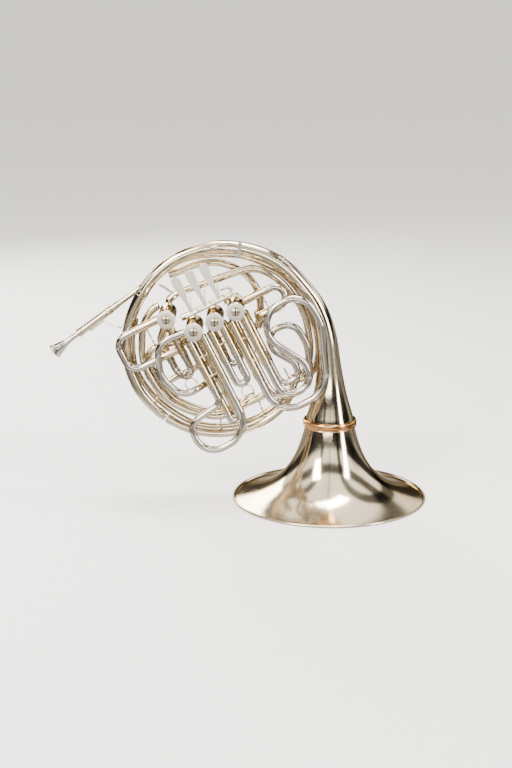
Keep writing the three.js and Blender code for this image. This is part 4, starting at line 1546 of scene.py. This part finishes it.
@dataclass
class SlideSet:
    """All nine slides, from the front layer to the back."""

    drop: float = SLIDE_RADIUS + PULL_RING - 0.6

    def straight(
        self, name: str, sides: tuple[float, float], depth: float, ends: tuple[float, float],
        bow: float, inner: float, levels: Sequence[float], facing: str,
    ) -> Slide:
        """A slide with two straight legs and a round bow.

        Args:
            name: The slide's name.
            sides: The u of each leg.
            depth: The y of both legs.
            ends: Where each sleeve ends.
            bow: The v of the bow's lowest line.
            inner: The v where the crook's legs begin.
            levels: The v of each stay between the sleeves.
            facing: Which way the pull ring faces.

        Returns:
            The slide.
        """
        left, right = sides
        bend = (right - left) / 2 - 0.005
        return Slide(
            name,
            legs(sides, depth, ends),
            [
                (left, depth, inner), (left, depth, bow, bend), (right, depth, bow, bend),
                (right, depth, inner),
            ],
            stays(sides, depth, levels),
            ((left + right) / 2, depth, bow + self.drop, facing),
            (ends[0] - inner + 4.5, -(ends[1] - inner + 4.5)),
        )

    def f_side(self) -> list[Slide]:
        """The three long front slides.

        Returns:
            The slides.
        """
        left, right = -VALVE_PITCH - 15.7, -VALVE_PITCH + 7.3
        first = Slide(
            "f_first",
            legs((left, right), FRONT, (97, 97)),
            [
                (left, FRONT, 40), (left, FRONT, 127, 12), (left - 63, FRONT, 137, 24),
                (left - 63, FRONT, 196, 32), (right, FRONT, 194, 44), (right, FRONT, 40),
            ],
            stays((left, right), FRONT, (45, 80)),
            None, (61.5, -61.5, -96.0),
        )
        second = self.straight("f_second", (-15, 5.5), FRONT, (63, 63), 113, 22, (40,), "back")
        left, right = VALVE_PITCH - 16.3, VALVE_PITCH + 4.7
        third = Slide(
            "f_third",
            legs((left, right), FRONT, (112, 98)),
            [
                (left, FRONT, 40), (left, FRONT, 187, 40), (right + 66, FRONT, 187, 50),
                (right + 108, FRONT, 80, 60), (right + 102, FRONT, 21, 34),
                (right + 20, FRONT, 23, 40), (right + 25, FRONT, 75, 40),
                (right + 56, FRONT, 127, 28), (right + 52, FRONT, 165, 25),
                (right + 1, FRONT, 165, 24), (right, FRONT, 130, 0.1), (right, FRONT, 40),
            ],
            stays((left, right), FRONT, (48, 88)),
            None, (76.5, -62.5),
        )
        return [first, second, third]

    def b_side(self) -> list[Slide]:
        """The three short rear slides.

        Returns:
            The slides.
        """
        left, right = -VALVE_PITCH - 4.7 - 2 * SLEEVE_RADIUS, -VALVE_PITCH - 3.2
        bend = (right - left) / 2 - 0.005
        first = Slide(
            "b_first",
            legs((left, right), REAR, (150, 150), LEG_TOP + 9),
            [
                (left, REAR, 70), (left, REAR, 170, bend), (right, REAR, 170, bend),
                (right, REAR, 70),
            ],
            stays((left, right), REAR, (60, 120)),
            ((left + right) / 2, REAR, 170 + self.drop, "back"), (84.5, -84.5),
        )
        second = self.straight("b_second", (-14, 6.5), REAR, (52, 52), 84, 22, (35,), "side")
        left, right, outer = VALVE_PITCH - 13.3, VALVE_PITCH + 7.7, 112.0
        span = outer - right - 15
        third = Slide(
            "b_third",
            legs((left, right), REAR, (100, 100)),
            [
                (left, REAR, 40), (left, REAR, 172, 32), (outer - 24, REAR, 173, 34),
                (outer, REAR, 110, 50), (outer - 2, REAR, 62, span / 2),
                (right + 13, REAR, 62, span * 0.41), (right + 15, REAR, 94, 24),
                (right + 36, REAR, 126, 18), (right + 34, REAR, 151, 16),
                (right + 1, REAR, 151, 14), (right, REAR, 130, 0.1), (right, REAR, 40),
            ],
            stays((left, right), REAR, (40, 80)),
            (right + 16.5, REAR, 151 - self.drop, "side"), (64.5, -64.5),
        )
        return [first, second, third]

    def tuning(self) -> list[Slide]:
        """The three tuning slides on the fixed tubing.

        Returns:
            The slides.
        """
        depth, upper, lower = -7.0, -36.5, 22.5
        inner, end = CHANGE_U - 25, CHANGE_U - 96.5
        start, sleeve_end = CHANGE_U - CASING_RADIUS, CHANGE_U - 55
        f_slide = Slide(
            "f_tuning",
            [
                [(start, depth, upper), (sleeve_end, depth, upper)],
                [
                    (-VALVE_PITCH - 15.5, depth, 4.1), (start + 3, depth, lower, 18),
                    (sleeve_end, depth, lower),
                ],
            ],
            [
                (inner, depth, upper), (end, depth, upper, 21), (end, depth, lower, 21),
                (inner, depth, lower),
            ],
            [((sleeve_end + 14, depth, upper), (sleeve_end + 14, depth, lower))],
            None, (34.5, -34.5),
        )
        right_depth, left_depth = -20.5, 6.5
        right, left, bow = CHANGE_U - 4.5, CHANGE_U - 31.5, 68.0
        bend = math.hypot(right - left, right_depth - left_depth) / 2 - 0.01
        b_slide = Slide(
            "b_tuning",
            [
                [(right, right_depth, CHANGE_V + CASING_RADIUS - 1), (right, right_depth, 30)],
                [
                    (right - 4.4, left_depth, -25.8), (left, left_depth, -2, 14),
                    (left, left_depth, 30),
                ],
            ],
            [
                (right, right_depth, 8), (right, right_depth, bow, bend),
                (left, left_depth, bow, bend), (left, left_depth, 8),
            ],
            [((right, right_depth, 6), (left, left_depth, 6))],
            ((right + left) / 2, (right_depth + left_depth) / 2, bow + self.drop, "back"),
            (26.5, -26.5),
        )
        depth, upper, lower = -14.5, -4.0, 29.5
        inner, end, sleeve_end = VALVE_PITCH + 34.7, VALVE_PITCH + 79.7, VALVE_PITCH + 57.7
        elbow, bend = inner - 9, (lower - upper) / 2 - 0.01
        main_slide = Slide(
            "main_tuning",
            [
                [(VALVE_PITCH + CASING_RADIUS, depth, upper), (sleeve_end, depth, upper)],
                [(elbow, depth + 30, lower), (elbow, depth, lower, 9), (sleeve_end, depth, lower)],
            ],
            [
                (inner, depth, upper), (end, depth, upper, bend), (end, depth, lower, bend),
                (inner + 4, depth, lower),
            ],
            [((sleeve_end - 11, depth, upper), (sleeve_end - 11, depth, lower))],
            None, (26.5, -22.5),
        )
        return [f_slide, b_slide, main_slide]

    def build(self, bench: Bench) -> None:
        """Makes every slide."""
        for slide in (*self.f_side(), *self.b_side(), *self.tuning()):
            slide.build(bench)


# ---- levers -------------------------------------------------------------------------------
@dataclass
class LeverWork:
    """The three finger levers on their rod, the thumb lever, and the hook."""

    pitch: float = 24.3
    length: float = 65.5
    hinge_v: float = -27.0
    plane: float = -47.0
    rod_depth: float = -46.0
    rod_radius: float = 1.5
    hub_radius: float = 3.0
    hub_length: float = 15.0
    thickness: float = 1.6
    thumb_width: float = 15.0

    def paddle(self) -> list[tuple[float, float]]:
        """The finger plate's outline, as (across, away from the hinge).

        Returns:
            The outline, one point after another.
        """
        tip, waist = 7.3, 3.1
        right = [(waist, 2.5), (waist, 16.0)]
        for i in range(1, 15):
            across = cubic(i / 14, waist, waist, tip, tip)
            right.append((across, cubic(i / 14, 16, 28, 38, self.length - tip)))
        for i in range(1, 10):
            angle = math.pi / 2 * i / 9
            right.append((tip * math.cos(angle), self.length - tip + tip * math.sin(angle)))
        return right + [(-across, away) for across, away in right[-2::-1]]

    def finger(self, u: float) -> Shaper:
        """One finger lever.

        Args:
            u: Where it sits along the rod.

        Returns:
            Its plate, hub and arm.
        """
        base = at_valves(u, self.rod_depth, self.hinge_v)
        half = self.thickness / 2
        outline = []
        for across, away in self.paddle():
            spot = base + ROW_ALONG * across - ROW_DOWN * away
            spot.y = self.plane - half
            outline.append(spot)
        shape = Shaper().plate(outline, BACK * self.thickness, 0.45)
        bore = self.rod_radius + PIECE_GAP
        size, length = self.hub_radius, self.hub_length
        shape.turned([
            (bore, 0), (size - 0.3, 0), (size, 0.3), (size, 1.2), (size - 0.35, 1.6),
            (size - 0.35, length - 1.6), (size, length - 1.2), (size, length - 0.3),
            (size - 0.3, length), (bore, length),
        ], at_valves(u - length / 2, self.rod_depth, self.hinge_v), ROW_ALONG, 40)
        arm = valve_route([
            (u, self.rod_depth + 2.4, self.hinge_v - 0.6), (u, -2, self.hinge_v - 11, 20),
            (u, 27, self.hinge_v - 13),
        ])
        shape.tube(arm, eased([(0, 1.7), (0.3, 1.25), (1, 1.05)]), 0, 16)
        return shape.ball(at_valves(u, 26.4, self.hinge_v - 13), 1.9)

    def hinge_rod(self) -> Shaper:
        """The rod, its posts and the turned knobs at its ends.

        Returns:
            The solids of the piece.
        """
        reach = self.pitch + self.hub_length / 2 + 5
        left = at_valves(-reach - 1, self.rod_depth, self.hinge_v)
        right = at_valves(reach - 1, self.rod_depth, self.hinge_v)
        shape = Shaper().rod(left, right, self.rod_radius, 24)
        knob = [(0, 0), (2.1, 0), (2.5, 0.4), (2.5, 2.2), (1.8, 2.8), (0, 2.8)]
        for end, along in ((left, ROW_ALONG), (right, -ROW_ALONG)):
            shape.turned(knob, end, along, 24)
        for share in (-0.5, 0.5):
            top = at_valves(share * self.pitch - 1, self.rod_depth, self.hinge_v)
            foot = at_valves(share * self.pitch - 1, -1.5, self.hinge_v + 6)
            shape.rod(top, foot, 1.9, 24).ball(top, 3.0, 28)
        return shape

    def thumb(self) -> tuple[Shaper, Shaper]:
        """The thumb lever's pivot, and the lever.

        Returns:
            The solids of the pivot and of the lever.
        """
        pivot = body_place(-250, 0, 208)
        tip = body_place(-273, 0, 222.5)
        start, hub_start, plate_at = 3 + SLIDE_RADIUS + PIECE_GAP, 14.0, 22.0
        post = Shaper().rod(pivot + BACK * start, pivot + BACK * 33, self.rod_radius, 24)
        head = [(0, 0), (2.3, 0), (2.6, 0.4), (2.6, 1.5), (0, 1.5)]
        post.turned(head, pivot + BACK * 31.5, BACK, 24)
        bore, size = self.rod_radius + PIECE_GAP, self.hub_radius
        lever = Shaper().turned([
            (bore, 0), (size - 0.3, 0), (size, 0.3), (size, 15.7), (size - 0.3, 16), (bore, 16),
        ], pivot + BACK * hub_start, BACK, 40)
        along = (tip - pivot).normalized()
        length = (tip - pivot).length
        across = BACK.cross(along)
        half = self.thumb_width / 2
        side = [(2.4, 3.0), (9.0, 3.0)]
        for i in range(1, 9):
            side.append((cubic(i / 8, 9, 13, 12, 18), cubic(i / 8, 3, 3, half, half)))
        centre = length - half + 6
        for i in range(9):
            angle = math.pi / 2 * (1 - i / 8)
            side.append((centre + half * math.cos(angle), half * math.sin(angle)))
        outline = [
            pivot + BACK * (plate_at + width) + along * away
            for away, width in side + [(away, -width) for away, width in side[-2::-1]]
        ]
        return post, lever.plate(outline, across * -self.thickness, 0.4).rod(
            pivot + BACK * 28 - along * 2.4, pivot + BACK * 28 - along * 16, 1.2,
        )

    def hook(self) -> Shaper:
        """The little finger's hook.

        Returns:
            The solids of the piece.
        """
        route = valve_route([
            (VALVE_PITCH - 9.3, -22, -37), (VALVE_PITCH + 6.7, -22, -37, 7),
            (VALVE_PITCH + 8.7, -22, -19),
        ])
        return Shaper().tube(route, eased([(0, 1.7), (0.15, 2.2), (1, 2.2)]), 0, 20)

    def build(self, bench: Bench) -> None:
        """Makes the pieces.

        Args:
            bench: Where pieces are finished.
        """
        bench.piece("lever_rod_metal", self.hinge_rod(), "lever_rod", STEEL)
        for i, name in enumerate(("first", "second", "third")):
            lever = self.finger(self.pitch * (i - 1) - 1)
            bench.piece(f"{name}_lever_metal", lever, f"{name}_lever", SATIN)
        post, lever = self.thumb()
        bench.piece("thumb_pivot_metal", post, "thumb_pivot", STEEL)
        bench.piece("thumb_lever_metal", lever, "thumb_lever", SATIN)
        bench.piece("finger_hook_metal", self.hook(), "finger_hook", NICKEL)


@dataclass
class LyreHolder:
    """The clamp for a music lyre, and its strap round the bell tail."""

    socket_radius: float = 3.6

    def build(self, bench: Bench) -> None:
        """Makes the holder.

        Args:
            bench: Where pieces are finished.
        """
        shape = Shaper().rod(body_place(-186, -6.5, 289.5), body_place(-150, -6.5, 286), 1.3)
        size = self.socket_radius
        shape.turned(
            [(0, 0), (size, 0), (size, 8), (size - 0.8, 9.4), (2, 10), (0, 10)],
            body_place(-183, -6.5, 289.3), Vector((-1, 0, 0.06)), 32,
        )
        lean = math.radians(9)
        along = Vector((math.cos(lean), 0, -math.sin(lean)))
        rise = Vector((math.sin(lean), 0, math.cos(lean)))
        middle = body_place(-148, -6.5, 285)
        corners = [
            middle + along * across + rise * up
            for across, up in ((-3, -13), (3, -13), (3, 13), (-3, 13))
        ]
        shape.plate(corners, BACK * 1.6, 0.3)
        bench.piece("lyre_holder_metal", shape, "lyre_holder", SILVER)


# ---- studio -------------------------------------------------------------------------------
@dataclass(frozen=True)
class Lamp:
    """A soft rectangular light aimed at the horn.

    Attributes:
        name: Its name.
        where: Its place in metres.
        size: Its width and height in metres.
        power: Its power in watts.
        warmth: 0 for white, 1 for warm.
    """

    name: str
    where: Point
    size: tuple[float, float]
    power: float
    warmth: float


@dataclass
class Studio:
    """The floor, the soft lights and the camera."""

    camera_place: Point = (0.0287, -2.507, 0.845)
    pitch_down: float = 14.6
    lens: float = 74.53
    sensor: float = 36.0
    floor_half: float = 60.0
    sky_strength: float = 2.6
    plain_sky: tuple[float, float, float, float] = (0.42, 0.418, 0.413, 1.0)
    plain_floor: tuple[float, float, float, float] = (0.90, 0.895, 0.885, 1.0)
    floor_roughness: float = 0.62
    aim: Point = (0.0, 0.0, 0.25)
    lamps: tuple[Lamp, ...] = (
        Lamp("key", (-1.5, -1.7, 1.9), (0.9, 1.3), 105, 0.25),
        Lamp("low", (-0.35, -2.6, 0.42), (1.9, 0.32), 24, 0.2),
        Lamp("fill", (1.9, -1.2, 1.1), (0.5, 1.6), 55, 0.1),
        Lamp("top", (0.2, 0.3, 2.2), (1.4, 0.5), 70, 0.2),
        Lamp("back", (-0.9, 2.0, 1.2), (1.2, 0.8), 65, 0.3),
    )
    tall_bands: tuple[tuple[float, float], ...] = (
        (0.0, 0.1), (0.50, 0.30), (0.525, 0.28), (0.545, 0.02), (0.64, 0.02), (0.67, 1.0),
        (0.74, 1.0), (0.77, 0.07), (0.83, 0.06), (0.87, 1.0), (1.0, 1.0),
    )
    wide_bands: tuple[tuple[float, float], ...] = (
        (0.0, 0.15), (0.07, 0.9), (0.20, 0.9), (0.23, 0.10), (0.28, 0.10), (0.31, 1.0),
        (0.47, 0.9), (0.49, 0.30), (0.52, 1.0), (0.69, 1.0), (0.71, 0.08), (0.77, 0.08),
        (0.80, 1.0), (0.93, 1.0), (1.0, 0.15),
    )
    # Painted reflection: the floor's colour for glossy rays, dark and pale rings by distance from
    # the horn.
    floor_painted_reflection: tuple[tuple[float, float], ...] = (
        (0.0, 0.42), (0.030, 0.36), (0.042, 0.02), (0.080, 0.02), (0.088, 0.40), (0.100, 0.36),
        (0.108, 0.012), (0.21, 0.01), (0.23, 0.36), (0.28, 0.34), (0.31, 0.012), (0.60, 0.01),
        (0.66, 0.30), (1.0, 0.34),
    )

    def floor(self) -> None:
        """A pale floor, which polished metal mirrors with dark rings round the horn; the rings are
        painted reflection, seen only by glossy rays.
        """
        mesh = bmesh.new()
        bmesh.ops.create_grid(mesh, x_segments=4, y_segments=4, size=self.floor_half)
        data = bpy.data.meshes.new("floor")
        mesh.to_mesh(data)
        mesh.free()
        floor = bpy.data.objects.new("floor", data)
        bpy.context.scene.collection.objects.link(floor)
        material = bpy.data.materials.new("pale_floor")
        material.use_nodes = True
        tree = material.node_tree
        shader = tree.nodes["Principled BSDF"]
        shader.inputs["Roughness"].default_value = self.floor_roughness
        spread = tree.nodes.new("ShaderNodeVectorMath")
        spread.operation = "LENGTH"
        tree.links.new(tree.nodes.new("ShaderNodeTexCoord").outputs["Object"], spread.inputs[0])
        # Painted reflection: glossy rays get the banded colour, while the camera gets the plain
        # floor.
        mirrored = self.bands(tree, spread.outputs["Value"], self.floor_painted_reflection, (0.0, 10.0))
        in_metal = tree.nodes.new("ShaderNodeLightPath").outputs["Is Glossy Ray"]
        colour = blended(tree, in_metal, self.plain_floor, mirrored)
        tree.links.new(colour, shader.inputs["Base Color"])
        data.materials.append(material)

    def bands(
        self, tree: Tree, value: Socket, stops: Sequence[tuple[float, float]],
        span: tuple[float, float] = (-1.0, 1.0),
    ) -> Socket:
        """Bright and dark bands across one direction.

        Args:
            tree: The nodes to build in.
            value: What runs across the bands.
            stops: Shares of the way across with the brightness there.
            span: The values at the first and the last share.

        Returns:
            The banded colour.
        """
        share = tree.nodes.new("ShaderNodeMapRange")
        share.inputs["From Min"].default_value, share.inputs["From Max"].default_value = span
        tree.links.new(value, share.inputs["Value"])
        node = tree.nodes.new("ShaderNodeValToRGB")
        node.color_ramp.interpolation = "EASE"
        marks = node.color_ramp.elements
        while len(marks) < len(stops):
            marks.new(0.5)
        for mark, (where, bright) in zip(marks, stops):
            mark.position = where
            mark.color = (bright, bright * 0.985, bright * 0.955, 1)
        tree.links.new(share.outputs["Result"], node.inputs["Fac"])
        return node.outputs["Color"]

    def sky(self) -> None:
        """A pale room, in which the metal mirrors dark uprights and a dark rail."""
        world = bpy.data.worlds.new("studio")
        bpy.context.scene.world = world
        world.use_nodes = True
        tree = world.node_tree
        split = tree.nodes.new("ShaderNodeSeparateXYZ")
        tree.links.new(tree.nodes.new("ShaderNodeTexCoord").outputs["Generated"], split.inputs[0])
        tall = self.bands(tree, split.outputs["Z"], self.tall_bands)
        wide = self.bands(tree, split.outputs["X"], self.wide_bands)
        mirrored = blended(tree, 1.0, tall, wide, "MULTIPLY")
        to_camera = tree.nodes.new("ShaderNodeLightPath").outputs["Is Camera Ray"]
        colour = blended(tree, to_camera, mirrored, self.plain_sky)
        tree.links.new(colour, tree.nodes["Background"].inputs["Color"])
        tree.nodes["Background"].inputs["Strength"].default_value = self.sky_strength

    def light(self, lamp: Lamp) -> None:
        """Hangs one lamp.

        Args:
            lamp: What to hang.
        """
        data = bpy.data.lights.new(lamp.name, "AREA")
        data.shape = "RECTANGLE"
        data.size, data.size_y = lamp.size
        data.energy = lamp.power
        data.color = (1.0, 1.0 - 0.12 * lamp.warmth, 1.0 - 0.26 * lamp.warmth)
        hung = bpy.data.objects.new(lamp.name, data)
        bpy.context.scene.collection.objects.link(hung)
        hung.location = lamp.where
        towards = Vector(self.aim) - hung.location
        hung.rotation_euler = towards.to_track_quat("-Z", "Y").to_euler()
        hung.visible_camera = False

    def build(self) -> None:
        """Sets the whole studio."""
        self.floor()
        self.sky()
        for lamp in self.lamps:
            self.light(lamp)
        camera = bpy.data.objects.new("camera", bpy.data.cameras.new("camera"))
        bpy.context.scene.collection.objects.link(camera)
        camera.data.lens = self.lens
        camera.data.sensor_width = self.sensor
        camera.location = self.camera_place
        camera.rotation_euler = (math.radians(90 - self.pitch_down), 0, 0)
        bpy.context.scene.camera = camera


VALVES = (
    Valve("change", CHANGE_U, CHANGE_V),
    Valve("first", -VALVE_PITCH, 0.0),
    Valve("second", 0.0, 0.0),
    Valve("third", VALVE_PITCH, 0.0),
)


def main() -> None:
    """Builds every sub-assembly and sets the studio."""
    logging.basicConfig(level=logging.INFO)
    bench = Bench(frame)
    bell = Bell()
    bell.build(bench)
    BodyTubes().build(bench, bell)
    Mouthpipe().build(bench)
    for valve in VALVES:
        valve.build(bench)
    SlideSet().build(bench)
    LeverWork().build(bench)
    LyreHolder().build(bench)
    Studio().build()
    LOG.info("nodes left as they are: %s", sorted(set(frame["nodes"]) - bench.covered))


if __name__ == "__main__":
    main()
